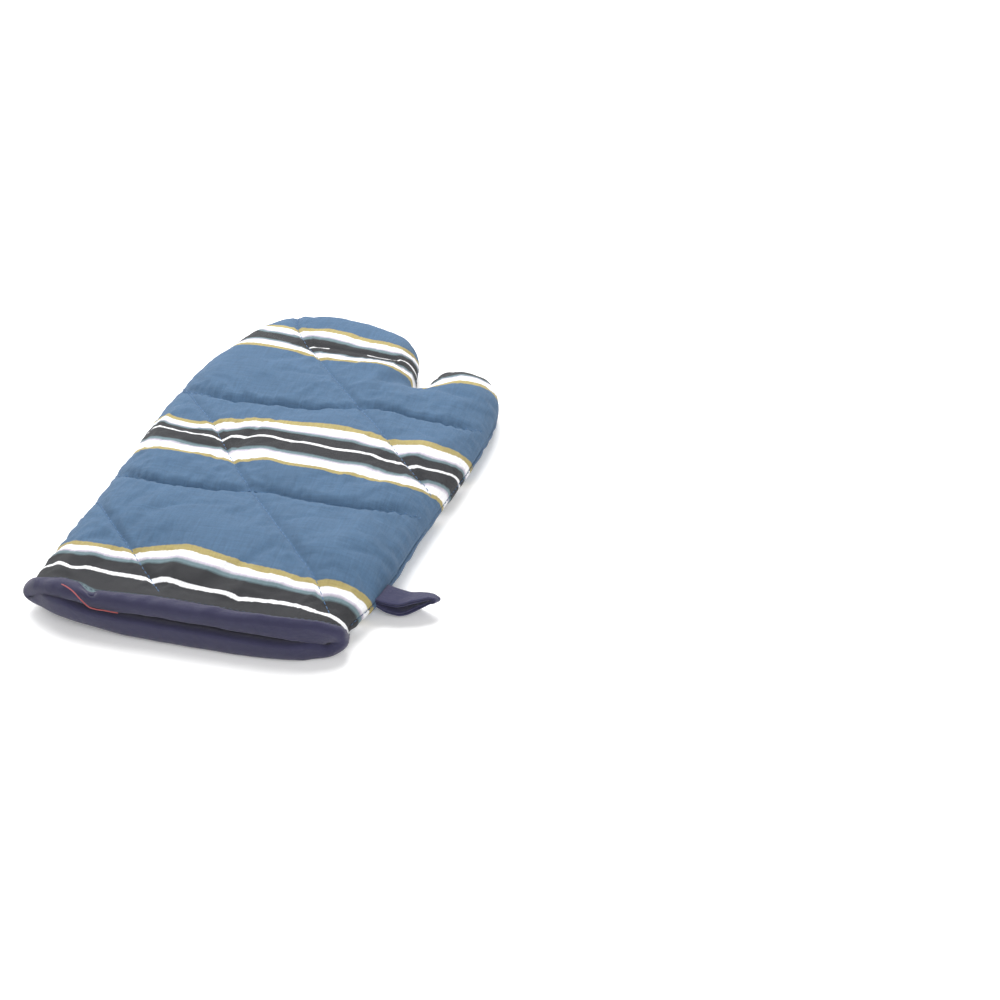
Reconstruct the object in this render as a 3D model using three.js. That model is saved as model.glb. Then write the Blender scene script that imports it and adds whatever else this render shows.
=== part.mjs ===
// Quilted oven mitt, left-hand one of a mirror pair, lying on its back panel.
// Millimetres, +Z up, +Y towards the fingers, +X towards the thumb.
// Every layer of the mitt is its own closed solid: face cloth, wadding and lining on each
// side, the binding round the cuff, the hanging loop and the runs of sewing thread.
import * as THREE from 'three';

// ---- driving dimensions ------------------------------------------------------------
const SEAM_Z = 10;            // height of the side seam over the rest plane
const SEAM_GAP = 0.3;         // gap between the front and back panels at the seam
const CUFF_TOP = 22.7;        // height of the face cloth at the cuff
const CROWN = 31;             // height of the face cloth over the hand
const THUMB_DROP = 2.0;       // how much lower the crown is on the thumb
const ROLL_TOP = 28;          // width of the rounded edge, upper side
const ROLL_BOTTOM = 14;       // width of the rounded edge, underside
const BAND = 9;               // straight band at the cuff, under the binding
const BAND_LIFT = 1.3;        // the underside is lifted there by the binding's thickness
const LIFT_END = 42;          // distance from the cuff where the underside is flat again
const CLOTH = 1.0;            // face cloth
const GAP = 0.3;              // gap between touching layers
const LINING = 0.8;
const WAD_SEAM = 1.5;         // wadding squeezed in the seam
const WAD_FRONT = 6.0;        // wadding, front panel
const WAD_BACK = 5.0;         // wadding, back panel
const WAD_FRONT_CUFF = 4.0;   // wadding pressed by the binding
const WAD_BACK_CUFF = 3.5;
const BINDING = 1.0;          // binding tape
const BINDING_WIDTH = 8.2;    // how far the binding covers the outside
const END_GAP = 0.9;          // room between the raw edges and the fold of the binding
const BINDING_INSIDE = 8;     // and the inside
const CUFF_Y = -5.0;          // cuff line in the middle; its ends curve back
const CUFF_BACK = 9;          // how far the ends of the cuff line curve back
const LEFT_X = -87.5;           // cuff edges
const RIGHT_X = 87.5;
const LOOP_WIDTH = 15;        // loop's tape, along the seam
const LOOP_PIVOT = new THREE.Vector3(96.1, 45.5, 10);   // middle of the line that the loop swings about
const LOOP_ANGLE = -0.19;     // the seam's slant there, about +Z
const LOOP_REACH = 25;
const THREAD = 0.5;           // sewing thread, as a square section
const ORIGIN = new THREE.Vector3(16.633, 147.532, 0);   // centre of the plan box

const CROTCH = [61.2, 230];    // where the seam turns between the thumb and the fingers

// ---- plan outline at the seam ------------------------------------------------------
const cuffY = (x) => CUFF_Y + CUFF_BACK * (Math.abs(x) / 87.5) ** 4;
const SIDE = [
  [87.5, 14], [88.8, 25], [91.4, 36], [94.4, 52], [97.4, 80], [101.5, 113], [105.5, 140], [109.5, 165], [112, 190],
  [113, 213], [110.5, 234], [104, 249], [93, 257.5], [82, 258.5], [73, 253.5], [67, 244.5],
  [63.4, 235], [61.2, 230], [59.6, 234.5], [58.2, 244], [56.5, 257], [52, 273], [42, 286],
  [22, 296.5], [0, 301], [-17, 301.5], [-33, 298.5], [-45, 291], [-54, 278], [-64, 257],
  [-73, 232], [-77.8, 212], [-80, 190], [-81, 150], [-81.4, 110], [-82, 75], [-84.2, 45], [-87.5, 14],
];

function sidePolyline() {
  const curve = new THREE.CatmullRomCurve3(SIDE.map((p) => new THREE.Vector3(p[0], p[1], 0)), false, 'centripetal');
  const dense = curve.getSpacedPoints(900).map((p) => [p.x, p.y]);
  dense[0] = [RIGHT_X, cuffY(RIGHT_X) + BAND];
  dense[dense.length - 1] = [LEFT_X, cuffY(LEFT_X) + BAND];
  return dense;
}
const DENSE = sidePolyline();
const DIST_LINE = [[RIGHT_X, -60], ...DENSE, [LEFT_X, -60]];

function nearest(x, y) {
  let best = 1e9, bx = 0, by = 0;
  for (let i = 0; i + 1 < DIST_LINE.length; i++) {
    const [ax, ay] = DIST_LINE[i], [cx, cy] = DIST_LINE[i + 1];
    const ux = cx - ax, uy = cy - ay, l2 = ux * ux + uy * uy;
    if (l2 < 1e-12) continue;
    const t = Math.min(1, Math.max(0, ((x - ax) * ux + (y - ay) * uy) / l2));
    const px = ax + t * ux, py = ay + t * uy, d = Math.hypot(x - px, y - py);
    if (d < best) { best = d; bx = px; by = py; }
  }
  return [best, bx, by];
}

// boundary points, closer together where the outline turns
function boundary() {
  const out = [DENSE[0]];
  let run = 0, turn = 0;
  for (let i = 1; i + 1 < DENSE.length; i++) {
    const a = DENSE[i - 1], b = DENSE[i], c = DENSE[i + 1];
    run += Math.hypot(b[0] - a[0], b[1] - a[1]);
    const t1 = Math.atan2(b[1] - a[1], b[0] - a[0]), t2 = Math.atan2(c[1] - b[1], c[0] - b[0]);
    let dt = t2 - t1;
    while (dt > Math.PI) dt -= 2 * Math.PI;
    while (dt < -Math.PI) dt += 2 * Math.PI;
    turn += Math.abs(dt);
    const near = Math.hypot(b[0] - CROTCH[0], b[1] - CROTCH[1] - 3) < 24;
    if (run > (near ? 4.5 : 16) || (turn > 0.42 && run > 1.6)) { out.push(b); run = 0; turn = 0; }
  }
  const last = DENSE[DENSE.length - 1], end = out[out.length - 1];
  if (Math.hypot(last[0] - end[0], last[1] - end[1]) < 7) out.pop();
  out.push(last);
  return out;
}

const BAND_X = [RIGHT_X, 84, 78.5, 69.5, 57, 44, 31, 18, 5, -8, -21, -34, -47, -60, -70, -78.5, -84, LEFT_X];

function inside(x, y, loop) {
  let c = false;
  for (let i = 0, j = loop.length - 1; i < loop.length; j = i++) {
    const [xi, yi] = loop[i], [xj, yj] = loop[j];
    if ((yi > y) !== (yj > y) && x < ((xj - xi) * (y - yi)) / (yj - yi) + xi) c = !c;
  }
  return c;
}

// plan points and their triangles
function planMesh() {
  const side = boundary();
  const cuff = [...BAND_X].reverse().map((x) => [x, cuffY(x)]);       // left to right
  const loop = [...side, ...cuff];                                     // anticlockwise
  const pts = loop.map((p) => [p[0], p[1]]);
  const add = (x, y, gap) => {
    if (!inside(x, y, loop)) return;
    for (const p of pts) if (Math.hypot(p[0] - x, p[1] - y) < gap) return;
    pts.push([x, y]);
  };
  for (const x of BAND_X.slice(1, -1)) pts.push([x, cuffY(x) + BAND]);
  // fans of points round the crotch of the thumb, where the seam turns inwards sharply
  for (const [r, n] of [[3.5, 5], [9, 6]])
    for (let k = 0; k < n; k++) {
      const t = Math.PI * (1.08 + (0.84 * k) / (n - 1));
      const x = CROTCH[0] + r * Math.cos(t), y = CROTCH[1] + r * Math.sin(t);
      if (nearest(x, y)[0] > r * 0.8) add(x, y, 1.8);
    }
  const rings = [[3.5, 2.2], [9, 5.5], [18, 9.5]];
  for (const [r, gap] of rings) {
    for (let i = 1; i + 1 < side.length; i++) {
      const a = side[i - 1], b = side[i], c = side[i + 1];
      const tx = c[0] - a[0], ty = c[1] - a[1], l = Math.hypot(tx, ty);
      const x = b[0] - (ty / l) * r, y = b[1] + (tx / l) * r;
      if (y < cuffY(x) + BAND + 6) continue;
      if (nearest(x, y)[0] < r * 0.93) continue;
      add(x, y, gap);
    }
  }
  const step = 17;
  for (let row = 0, y = 34; y < 300; y += step * 0.866, row++)
    for (let x = -90 + (row % 2 ? step / 2 : 0); x < 115; x += step)
      if (y > cuffY(x) + BAND + 8 && nearest(x, y)[0] > 21) add(x, y, 12);
  // Delaunay triangulation by point insertion
  const n = pts.length;
  const all = [...pts, [-5000, -5000], [5000, -5000], [0, 8000]];
  let tris = [[n, n + 1, n + 2]];
  const circ = (t) => {
    const [ax, ay] = all[t[0]], [bx, by] = all[t[1]], [cx, cy] = all[t[2]];
    const d = 2 * (ax * (by - cy) + bx * (cy - ay) + cx * (ay - by));
    const a2 = ax * ax + ay * ay, b2 = bx * bx + by * by, c2 = cx * cx + cy * cy;
    const ux = (a2 * (by - cy) + b2 * (cy - ay) + c2 * (ay - by)) / d;
    const uy = (a2 * (cx - bx) + b2 * (ax - cx) + c2 * (bx - ax)) / d;
    return [ux, uy, (ax - ux) ** 2 + (ay - uy) ** 2];
  };
  let cells = tris.map((t) => ({ t, c: circ(t) }));
  for (let i = 0; i < n; i++) {
    const [x, y] = all[i];
    const edges = new Map(), keep = [];
    for (const cell of cells) {
      if ((x - cell.c[0]) ** 2 + (y - cell.c[1]) ** 2 < cell.c[2] - 1e-9) {
        for (let k = 0; k < 3; k++) {
          const a = cell.t[k], b = cell.t[(k + 1) % 3], key = a < b ? a + '_' + b : b + '_' + a;
          if (edges.has(key)) edges.set(key, null); else edges.set(key, [a, b]);
        }
      } else keep.push(cell);
    }
    for (const e of edges.values()) if (e) { const t = [e[0], e[1], i]; keep.push({ t, c: circ(t) }); }
    cells = keep;
  }
  tris = [];
  for (const { t } of cells) {
    if (t.some((v) => v >= n)) continue;
    const cx = (pts[t[0]][0] + pts[t[1]][0] + pts[t[2]][0]) / 3, cy = (pts[t[0]][1] + pts[t[1]][1] + pts[t[2]][1]) / 3;
    if (!inside(cx, cy, loop)) continue;
    const [a, b, c] = t.map((v) => pts[v]);
    const area = (b[0] - a[0]) * (c[1] - a[1]) - (b[1] - a[1]) * (c[0] - a[0]);
    tris.push(area > 0 ? t : [t[0], t[2], t[1]]);
  }
  return { pts, tris, loop: loop.map((_, i) => i), sideCount: side.length };
}
const PLAN = planMesh();

// ---- heights -----------------------------------------------------------------------
const smooth = (t) => { t = Math.min(1, Math.max(0, t)); return t * t * (3 - 2 * t); };
const round = (t) => { t = Math.min(1, Math.max(0, t)); return Math.sqrt(1 - (1 - t) * (1 - t)); };
const overCuff = (x, y) => y - cuffY(x);
function crown(x, y) {
  const b = overCuff(x, y);
  return CUFF_TOP + (CROWN - CUFF_TOP) * smooth((b - BAND) / 55)
    - THUMB_DROP * smooth((x - 55) / 25) * smooth((b - 90) / 60)
    - 2.5 * smooth((y - 225) / 60);
}
const lift = (x, y) => BAND_LIFT * (1 - smooth((overCuff(x, y) - BAND) / (LIFT_END - BAND)));
// height, outward normal and distance to the seam for each plan point
function reference(front) {
  return PLAN.pts.map(([x, y]) => {
    const b = overCuff(x, y), ye = b < BAND ? cuffY(x) + BAND : y;
    const [d, nx, ny] = nearest(x, b < BAND ? cuffY(x) + BAND : y);
    let gx = 0, gy = 0;
    if (d > 1e-6) { gx = (x - nx) / d; gy = (ye - ny) / d; }
    else {
      let best = 1e9;
      for (let i = 0; i + 1 < DIST_LINE.length; i++) {
        const [ax, ay] = DIST_LINE[i], [cx, cy] = DIST_LINE[i + 1], m = Math.hypot((ax + cx) / 2 - x, (ay + cy) / 2 - ye);
        const l = Math.hypot(cx - ax, cy - ay);
        const t = ((x - ax) * (cx - ax) + (ye - ay) * (cy - ay)) / (l * l || 1);
        if (m < best && t > -0.5 && t < 1.5) { best = m; gx = -(cy - ay) / l; gy = (cx - ax) / l; }
      }
    }
    if (b < BAND + 0.01) { gx = Math.sign(gx) || 1; gy = 0; }
    let z, s, dir;
    if (front) {
      const low = SEAM_Z + SEAM_GAP / 2, t = Math.min(1, d / ROLL_TOP), top = crown(x, ye);
      z = low + (top - low) * round(t);
      s = t < 1e-6 ? 1e6 : ((top - low) / ROLL_TOP) * (1 - t) / round(t);
      dir = 1;
    } else {
      const low = SEAM_Z - SEAM_GAP / 2, t = Math.min(1, d / ROLL_BOTTOM), base = lift(x, ye);
      z = base + (low - base) * (1 - round(t));
      s = t < 1e-6 ? 1e6 : ((low - base) / ROLL_BOTTOM) * (1 - t) / round(t);
      dir = -1;
    }
    const n = new THREE.Vector3(-gx * s, -gy * s, dir).normalize();
    if (s > 1e5) n.set(-gx, -gy, 0).normalize();
    return { p: new THREE.Vector3(x, y, z), n, d, b };
  });
}
const FRONT = reference(true);
const BACK = reference(false);
function wad(v, front) {
  const full = front
    ? WAD_FRONT_CUFF + (WAD_FRONT - WAD_FRONT_CUFF) * smooth((v.b - BAND) / 30)
    : WAD_BACK_CUFF + (WAD_BACK - WAD_BACK_CUFF) * smooth((v.b - BAND) / 30);
  return WAD_SEAM + (full - WAD_SEAM) * smooth(v.d / 16);
}
const depths = (v, front) => {
  const w = wad(v, front), a = CLOTH, b = a + GAP, c = b + w, d = c + GAP, e = d + LINING;
  return [0, a, b, c, d, e];
};

// ---- helpers -----------------------------------------------------------------------
const group = new THREE.Group();
const COLOURS = {
  face: [0x6f8caa, 0.92], wadding: [0xe8e4da, 0.98], lining: [0x3a3a48, 0.95], navy: [0x57576f, 0.9],
  thread: [0x8fb4d6, 0.8], red: [0xb06a66, 0.85],
};
function add(name, positions, indices, colour) {
  const g = new THREE.BufferGeometry();
  g.setAttribute('position', new THREE.Float32BufferAttribute(positions, 3));
  if (indices) g.setIndex(indices);
  return addGeometry(name, g, colour);
}
function addGeometry(name, g, colour) {
  const m = new THREE.MeshStandardMaterial({ color: COLOURS[colour][0], roughness: COLOURS[colour][1], metalness: 0 });
  const mesh = new THREE.Mesh(g, m);
  mesh.name = name;
  mesh.position.copy(ORIGIN).negate();
  group.add(mesh);
  return mesh;
}
// closed shell between two depths of a panel
function layer(name, ref, front, outer, inner, colour) {
  const n = ref.length, pos = [];
  for (const k of [outer, inner])
    for (const v of ref) {
      const q = v.p.clone().addScaledVector(v.n, -depths(v, front)[k]);
      pos.push(q.x, q.y, q.z);
    }
  const idx = [];
  for (const [a, b, c] of PLAN.tris) {
    if (front) idx.push(a, b, c, n + a, n + c, n + b);
    else idx.push(a, c, b, n + a, n + b, n + c);
  }
  const L = PLAN.loop;
  for (let i = 0; i < L.length; i++) {
    const a = L[i], b = L[(i + 1) % L.length];
    if (front) idx.push(a, n + b, b, a, n + a, n + b);
    else idx.push(a, b, n + b, a, n + b, n + a);
  }
  return add(name, pos, idx, colour);
}

layer('outer_front', FRONT, true, 0, 1, 'face');
layer('wadding_front', FRONT, true, 2, 3, 'wadding');
layer('lining_front', FRONT, true, 4, 5, 'lining');
layer('outer_back', BACK, false, 0, 1, 'face');
layer('wadding_back', BACK, false, 2, 3, 'wadding');
layer('lining_back', BACK, false, 4, 5, 'lining');

// ---- cuff binding: a U-shaped tape folded over all the raw edges of the mouth --------
const stations = [];
{
  const first = PLAN.sideCount, count = BAND_X.length;     // cuff row, left to right
  for (let i = 1; i < count - 1; i++) stations.push({ ...FRONT[first + i], front: true });
  const right = { p: new THREE.Vector3(RIGHT_X, cuffY(RIGHT_X), SEAM_Z), n: new THREE.Vector3(1, 0, 0), d: 0, b: 0, front: true };
  const left = { p: new THREE.Vector3(LEFT_X, cuffY(LEFT_X), SEAM_Z), n: new THREE.Vector3(-1, 0, 0), d: 0, b: 0, front: true };
  stations.push(right);
  for (let i = count - 2; i > 0; i--) stations.push({ ...BACK[first + i], front: false });
  stations.push(left);
}
{
  const pos = [], idx = [], m = 11;
  for (const s of stations) {
    const D = depths(s, s.front)[5];
    const section = [
      [GAP + BINDING, BINDING_WIDTH], [GAP + BINDING, 0], [0.5, -1.7], [-D / 2, -2.3], [-D - 0.5, -1.7],
      [-D - GAP - BINDING, 0], [-D - GAP - BINDING, BINDING_INSIDE], [-D - GAP, BINDING_INSIDE], [-D - GAP, -END_GAP],
      [GAP, -END_GAP], [GAP, BINDING_WIDTH],
    ];
    for (const [a, b] of section) {
      const q = s.p.clone().addScaledVector(s.n, a);
      pos.push(q.x, q.y + b, q.z);
    }
  }
  const N = stations.length;
  for (let i = 0; i < N; i++)
    for (let k = 0; k < m; k++) {
      const a = i * m + k, b = i * m + ((k + 1) % m), c = ((i + 1) % N) * m + k, d = ((i + 1) % N) * m + ((k + 1) % m);
      idx.push(a, b, d, a, d, c);
    }
  add('cuff_binding', pos, idx, 'navy');
}

// ---- thread runs -------------------------------------------------------------------
function thread(name, points, colour, size = THREAD, every = 9) {
  const curve = new THREE.CatmullRomCurve3(points, false, 'centripetal');
  const h = size / 2;
  const shape = new THREE.Shape([new THREE.Vector2(-h, -h), new THREE.Vector2(h, -h), new THREE.Vector2(h, h), new THREE.Vector2(-h, h)]);
  const g = new THREE.ExtrudeGeometry(shape, { steps: Math.max(2, Math.round(curve.getLength() / every)), extrudePath: curve, bevelEnabled: false });
  return addGeometry(name, g, colour);
}
// height of the front face's facets over a plan point
function facetHeight(x, y) {
  for (const [a, b, c] of PLAN.tris) {
    const A = FRONT[a].p, B = FRONT[b].p, C = FRONT[c].p;
    const det = (B.x - A.x) * (C.y - A.y) - (C.x - A.x) * (B.y - A.y);
    const u = ((x - A.x) * (C.y - A.y) - (C.x - A.x) * (y - A.y)) / det;
    const v = ((B.x - A.x) * (y - A.y) - (x - A.x) * (B.y - A.y)) / det;
    if (u >= -1e-9 && v >= -1e-9 && u + v <= 1 + 1e-9) return A.z + u * (B.z - A.z) + v * (C.z - A.z);
  }
  return -1;
}
function clearHeight(x, y, r = 8) {
  let z = facetHeight(x, y);
  for (let k = 0; k < 12; k++)
    for (const q of [r / 2, r]) z = Math.max(z, facetHeight(x + q * Math.cos((k * Math.PI) / 6), y + q * Math.sin((k * Math.PI) / 6)));
  return z;
}
function quiltRun(name, plan, rise) {
  const flat = new THREE.CatmullRomCurve3(plan.map((p) => new THREE.Vector3(p[0], p[1], 0)), false, 'centripetal');
  const pts = flat.getSpacedPoints(Math.round(flat.getLength() / 8)).filter((p) => nearest(p.x, p.y)[0] > 6 && overCuff(p.x, p.y) > BAND + 6);
  thread(name, pts.map((p) => new THREE.Vector3(p.x, p.y, clearHeight(p.x, p.y) + rise)), 'thread');
}
const QUILT = {
  quilt_thread_diagonal_1: [[[-25.8, 268], [4.6, 227.6], [37.7, 189.8], [69.6, 151.4], [85.7, 133], [97, 123]], 0.65],
  quilt_thread_diagonal_2: [[[-66, 186], [-54.4, 170.4], [-38.3, 152.4], [-29.5, 140], [-10.8, 114.5], [0.3, 101], [15.7, 83.2], [29.1, 67.5], [45.8, 48.5], [61.3, 32], [70.2, 18.8]], 0.65],
  quilt_thread_diagonal_3: [[[-75, 72], [-61, 54.8], [-36.9, 31], [-22.4, 16.5]], 0.65],
  quilt_thread_cross_1: [[[-66, 187], [-50, 180], [-29.6, 176.5], [15.9, 180.3], [42.4, 187], [71.9, 184.3], [98.2, 186.3], [104.5, 189.4]], 1.55],
  quilt_thread_cross_2: [[[-74, 99], [-55, 92], [-34.1, 88.2], [-2.3, 90.9], [6.6, 96.1], [34.7, 93.4], [62.3, 90.5], [86.8, 96.8], [92, 99]], 1.55],
};
for (const [name, [plan, rise]] of Object.entries(QUILT)) quiltRun(name, plan, rise);

// seam thread along the side seam, just outside the crease
{
  const side = PLAN.loop.slice(0, PLAN.sideCount);
  const pts = [];
  for (const i of side) {
    const v = FRONT[i];
    if (v.p.y < 57 && v.p.x > 0) continue;
    if (v.p.y < 30 && v.p.x < 0) continue;
    pts.push(new THREE.Vector3(v.p.x + v.n.x * 0.8, v.p.y + v.n.y * 0.8, SEAM_Z));
  }
  const path = new THREE.CurvePath();
  for (let i = 0; i + 1 < pts.length; i++) path.add(new THREE.LineCurve3(pts[i], pts[i + 1]));
  const h = THREAD / 2;
  const pos = [], idx = [];
  for (let i = 0; i < pts.length; i++) {
    const a = pts[Math.max(0, i - 1)], c = pts[Math.min(pts.length - 1, i + 1)];
    const t = new THREE.Vector3().subVectors(c, a).normalize(), o = new THREE.Vector3(t.y, -t.x, 0);
    for (const [u, w] of [[-h, -h], [h, -h], [h, h], [-h, h]]) pos.push(pts[i].x + o.x * u, pts[i].y + o.y * u, pts[i].z + w);
  }
  for (let i = 0; i + 1 < pts.length; i++)
    for (let k = 0; k < 4; k++) {
      const a = i * 4 + k, b = i * 4 + ((k + 1) % 4), c = a + 4, d = b + 4;
      idx.push(a, d, b, a, c, d);
    }
  const e = (pts.length - 1) * 4;
  idx.push(0, 1, 2, 0, 2, 3, e, e + 2, e + 1, e, e + 3, e + 2);
  add('side_seam_thread', pos, idx, 'thread');
}
// stitches that hold the binding, a ring just above its edge
{
  const h = THREAD / 2, pos = [], idx = [];
  for (const s of stations) {
    for (const [a, b] of [[0.8 - h, BAND + 0.25 - h], [0.8 + h, BAND + 0.25 - h], [0.8 + h, BAND + 0.25 + h], [0.8 - h, BAND + 0.25 + h]]) {
      const q = s.p.clone().addScaledVector(s.n, a);
      pos.push(q.x, q.y + b, q.z);
    }
  }
  const N = stations.length;
  for (let i = 0; i < N; i++)
    for (let k = 0; k < 4; k++) {
      const a = i * 4 + k, b = i * 4 + ((k + 1) % 4), c = ((i + 1) % N) * 4 + k, d = ((i + 1) % N) * 4 + ((k + 1) % 4);
      idx.push(a, d, b, a, c, d);
    }
  add('binding_thread', pos, idx, 'thread');
}

// a tail of sewing thread left on the binding, over its fold and along the mouth
{
  const TAIL = 0.6;
  const route = [[-63.5, -1.2, 24.9], [-60, -3.0, 25.0], [-56.5, -4.6, 25.0], [-52, -6.5, 24.3], [-49.5, -7.4, 21.5], [-47, -7.6, 18.8],
    [-44, -7.9, 17.1], [-40, -8.1, 16.5], [-36, -8.2, 16.4], [-31, -8.3, 16.6]];
  const curve = new THREE.CatmullRomCurve3(route.map((p) => new THREE.Vector3(...p)), false, 'centripetal');
  const shape = new THREE.Shape(Array.from({ length: 8 }, (_, k) => new THREE.Vector2(TAIL / 2 * Math.cos(k * Math.PI / 4), TAIL / 2 * Math.sin(k * Math.PI / 4))));
  addGeometry('loose_thread_tail', new THREE.ExtrudeGeometry(shape, { steps: 18, extrudePath: curve, bevelEnabled: false }), 'red');
}

// ---- hanging loop ------------------------------------------------------------------
{
  const centre = (u) => -3.6 * smooth(u / 11) + 2.0 * smooth((u - 13) / 10);
  const outer = (u) => (u <= 0 ? 1.5 : 1.5 + 2.9 * smooth(u / 10));
  const R = 4.4, r = 3.0, tip = LOOP_REACH - R;
  const us = [3, 6, 9, 12, 15, 18, tip];
  const outline = [];
  for (let k = 0; k <= 4; k++) { const t = Math.PI / 2 + (Math.PI * k) / 4; outline.push(new THREE.Vector2(1.5 * Math.cos(t), 1.5 * Math.sin(t))); }
  for (const u of us) outline.push(new THREE.Vector2(u, centre(u) - outer(u)));
  for (let k = 1; k < 6; k++) { const t = -Math.PI / 2 + (Math.PI * k) / 6; outline.push(new THREE.Vector2(tip + R * Math.cos(t), centre(tip) + R * Math.sin(t))); }
  for (const u of [...us].reverse()) outline.push(new THREE.Vector2(u, centre(u) + outer(u)));
  const shape = new THREE.Shape(outline);
  const eye = (u) => Math.max(0.25, r * smooth((u - 3) / 6));
  const hu = [5.2, 7.2, 9.5, 12, 15, 18, tip];
  const hole = [new THREE.Vector2(4, centre(4))];
  for (const u of hu) hole.push(new THREE.Vector2(u, centre(u) - eye(u)));
  for (let k = 1; k < 5; k++) { const t = -Math.PI / 2 + (Math.PI * k) / 5; hole.push(new THREE.Vector2(tip + r * Math.cos(t), centre(tip) + r * Math.sin(t))); }
  for (const u of [...hu].reverse()) hole.push(new THREE.Vector2(u, centre(u) + eye(u)));
  shape.holes.push(new THREE.Path(hole));
  const g = new THREE.ExtrudeGeometry(shape, { depth: LOOP_WIDTH, steps: 1, bevelEnabled: false, curveSegments: 1 });
  g.rotateX(Math.PI / 2);                                                    // shape in XZ, depth along -Y
  g.translate(0, LOOP_WIDTH / 2, 0);
  const loop = addGeometry('hanging_loop', g, 'navy');
  loop.position.copy(LOOP_PIVOT).sub(ORIGIN);
  loop.rotation.z = LOOP_ANGLE;
}

export default group;
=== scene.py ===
# Quilted oven mitt: the looks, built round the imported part.
# Plan coordinates are millimetres: x towards the thumb, y from the cuff to the fingers, z up.
# The row frame's origin is at plan (OX, OY), and everything handed to Blender is in metres.
import math

import bpy
import numpy as np
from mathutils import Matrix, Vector, geometry


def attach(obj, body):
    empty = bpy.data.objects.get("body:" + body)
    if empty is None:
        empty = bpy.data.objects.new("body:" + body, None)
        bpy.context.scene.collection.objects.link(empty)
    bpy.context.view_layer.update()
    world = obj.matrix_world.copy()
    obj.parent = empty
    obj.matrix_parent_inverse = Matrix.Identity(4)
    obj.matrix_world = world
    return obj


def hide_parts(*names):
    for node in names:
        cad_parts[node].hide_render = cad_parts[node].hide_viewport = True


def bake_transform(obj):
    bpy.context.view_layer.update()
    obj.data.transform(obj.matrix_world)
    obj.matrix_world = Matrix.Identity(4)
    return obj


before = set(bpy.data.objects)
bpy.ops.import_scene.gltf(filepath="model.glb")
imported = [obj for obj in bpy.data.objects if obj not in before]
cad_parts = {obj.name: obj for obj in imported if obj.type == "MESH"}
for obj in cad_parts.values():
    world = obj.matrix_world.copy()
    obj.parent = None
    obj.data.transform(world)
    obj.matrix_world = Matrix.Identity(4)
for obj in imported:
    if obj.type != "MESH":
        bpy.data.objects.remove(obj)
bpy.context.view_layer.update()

OX, OY = 16.633, 147.532


def metres(p):
    return (np.asarray(p, float) - (OX, OY, 0)) / 1000


# ---- numbers shared with the CAD ---------------------------------------------------
SEAM_Z, SEAM_GAP = 10.0, 0.3
CUFF_TOP, CROWN, THUMB_DROP = 22.7, 31.0, 2.0
ROLL_TOP, ROLL_BOTTOM = 28.0, 14.0
BAND, BAND_LIFT, LIFT_END = 9.0, 1.3, 42.0
CUFF_Y, CUFF_BACK = -5.0, 9.0
LEFT_X, RIGHT_X = -87.5, 87.5
CLOTH, GAP, LINING, WAD_SEAM = 1.0, 0.3, 0.8, 1.5
WAD = {True: (4.0, 6.0), False: (3.5, 5.0)}
SIDE = [
    [87.5, 14], [88.8, 25], [91.4, 36], [94.4, 52], [97.4, 80], [101.5, 113], [105.5, 140], [109.5, 165], [112, 190],
    [113, 213], [110.5, 234], [104, 249], [93, 257.5], [82, 258.5], [73, 253.5], [67, 244.5],
    [63.4, 235], [61.2, 230], [59.6, 234.5], [58.2, 244], [56.5, 257], [52, 273], [42, 286],
    [22, 296.5], [0, 301], [-17, 301.5], [-33, 298.5], [-45, 291], [-54, 278], [-64, 257],
    [-73, 232], [-77.8, 212], [-80, 190], [-81, 150], [-81.4, 110], [-82, 75], [-84.2, 45], [-87.5, 14],
]
CROTCH = (61.2, 230.0)
LOOP_PIVOT = np.array([96.1, 45.5, 10.0])
LOOP_ANGLE = -0.19
TAIL = [
    [-62.0, -2.6, 25.4], [-58.5, -4.0, 25.2], [-55.0, -5.6, 24.6], [-51.5, -7.2, 22.6], [-48.6, -8.0, 20.2],
    [-45.9, -8.3, 18.0], [-42.5, -8.5, 17.3], [-38, -8.6, 17.4], [-34, -8.7, 17.3], [-30.2, -8.7, 17.2],
]


# ---- small tools -------------------------------------------------------------------
def smooth(t):
    t = np.clip(t, 0, 1)
    return t * t * (3 - 2 * t)


def rnd(t):
    t = np.clip(t, 0, 1)
    return np.sqrt(np.maximum(1 - (1 - t) ** 2, 0))


def cuff_y(x):
    return CUFF_Y + CUFF_BACK * (np.abs(x) / 87.5) ** 4


def catmull(points, step):
    """Points about step apart on a centripetal Catmull-Rom curve through the given points."""
    p = np.array(points, float)
    p = np.vstack([2 * p[0] - p[1], p, 2 * p[-1] - p[-2]])
    out = []
    for i in range(1, len(p) - 2):
        p0, p1, p2, p3 = p[i - 1:i + 3]
        t1 = max(np.linalg.norm(p1 - p0) ** 0.5, 1e-6)
        t2 = t1 + max(np.linalg.norm(p2 - p1) ** 0.5, 1e-6)
        t3 = t2 + max(np.linalg.norm(p3 - p2) ** 0.5, 1e-6)
        n = max(2, int(np.linalg.norm(p2 - p1) / step))
        t = (t1 + (t2 - t1) * np.arange(n) / n)[:, None]
        a1 = (t1 - t) / t1 * p0 + t / t1 * p1
        a2 = (t2 - t) / (t2 - t1) * p1 + (t - t1) / (t2 - t1) * p2
        a3 = (t3 - t) / (t3 - t2) * p2 + (t - t2) / (t3 - t2) * p3
        b1 = (t2 - t) / t2 * a1 + t / t2 * a2
        b2 = (t3 - t) / (t3 - t1) * a2 + (t - t1) / (t3 - t1) * a3
        out.append((t2 - t) / (t2 - t1) * b1 + (t - t1) / (t2 - t1) * b2)
    out.append(p[-2][None])
    return np.vstack(out)


def run_of(line):
    return np.concatenate([[0], np.cumsum(np.linalg.norm(np.diff(line, axis=0), axis=1))])


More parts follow.
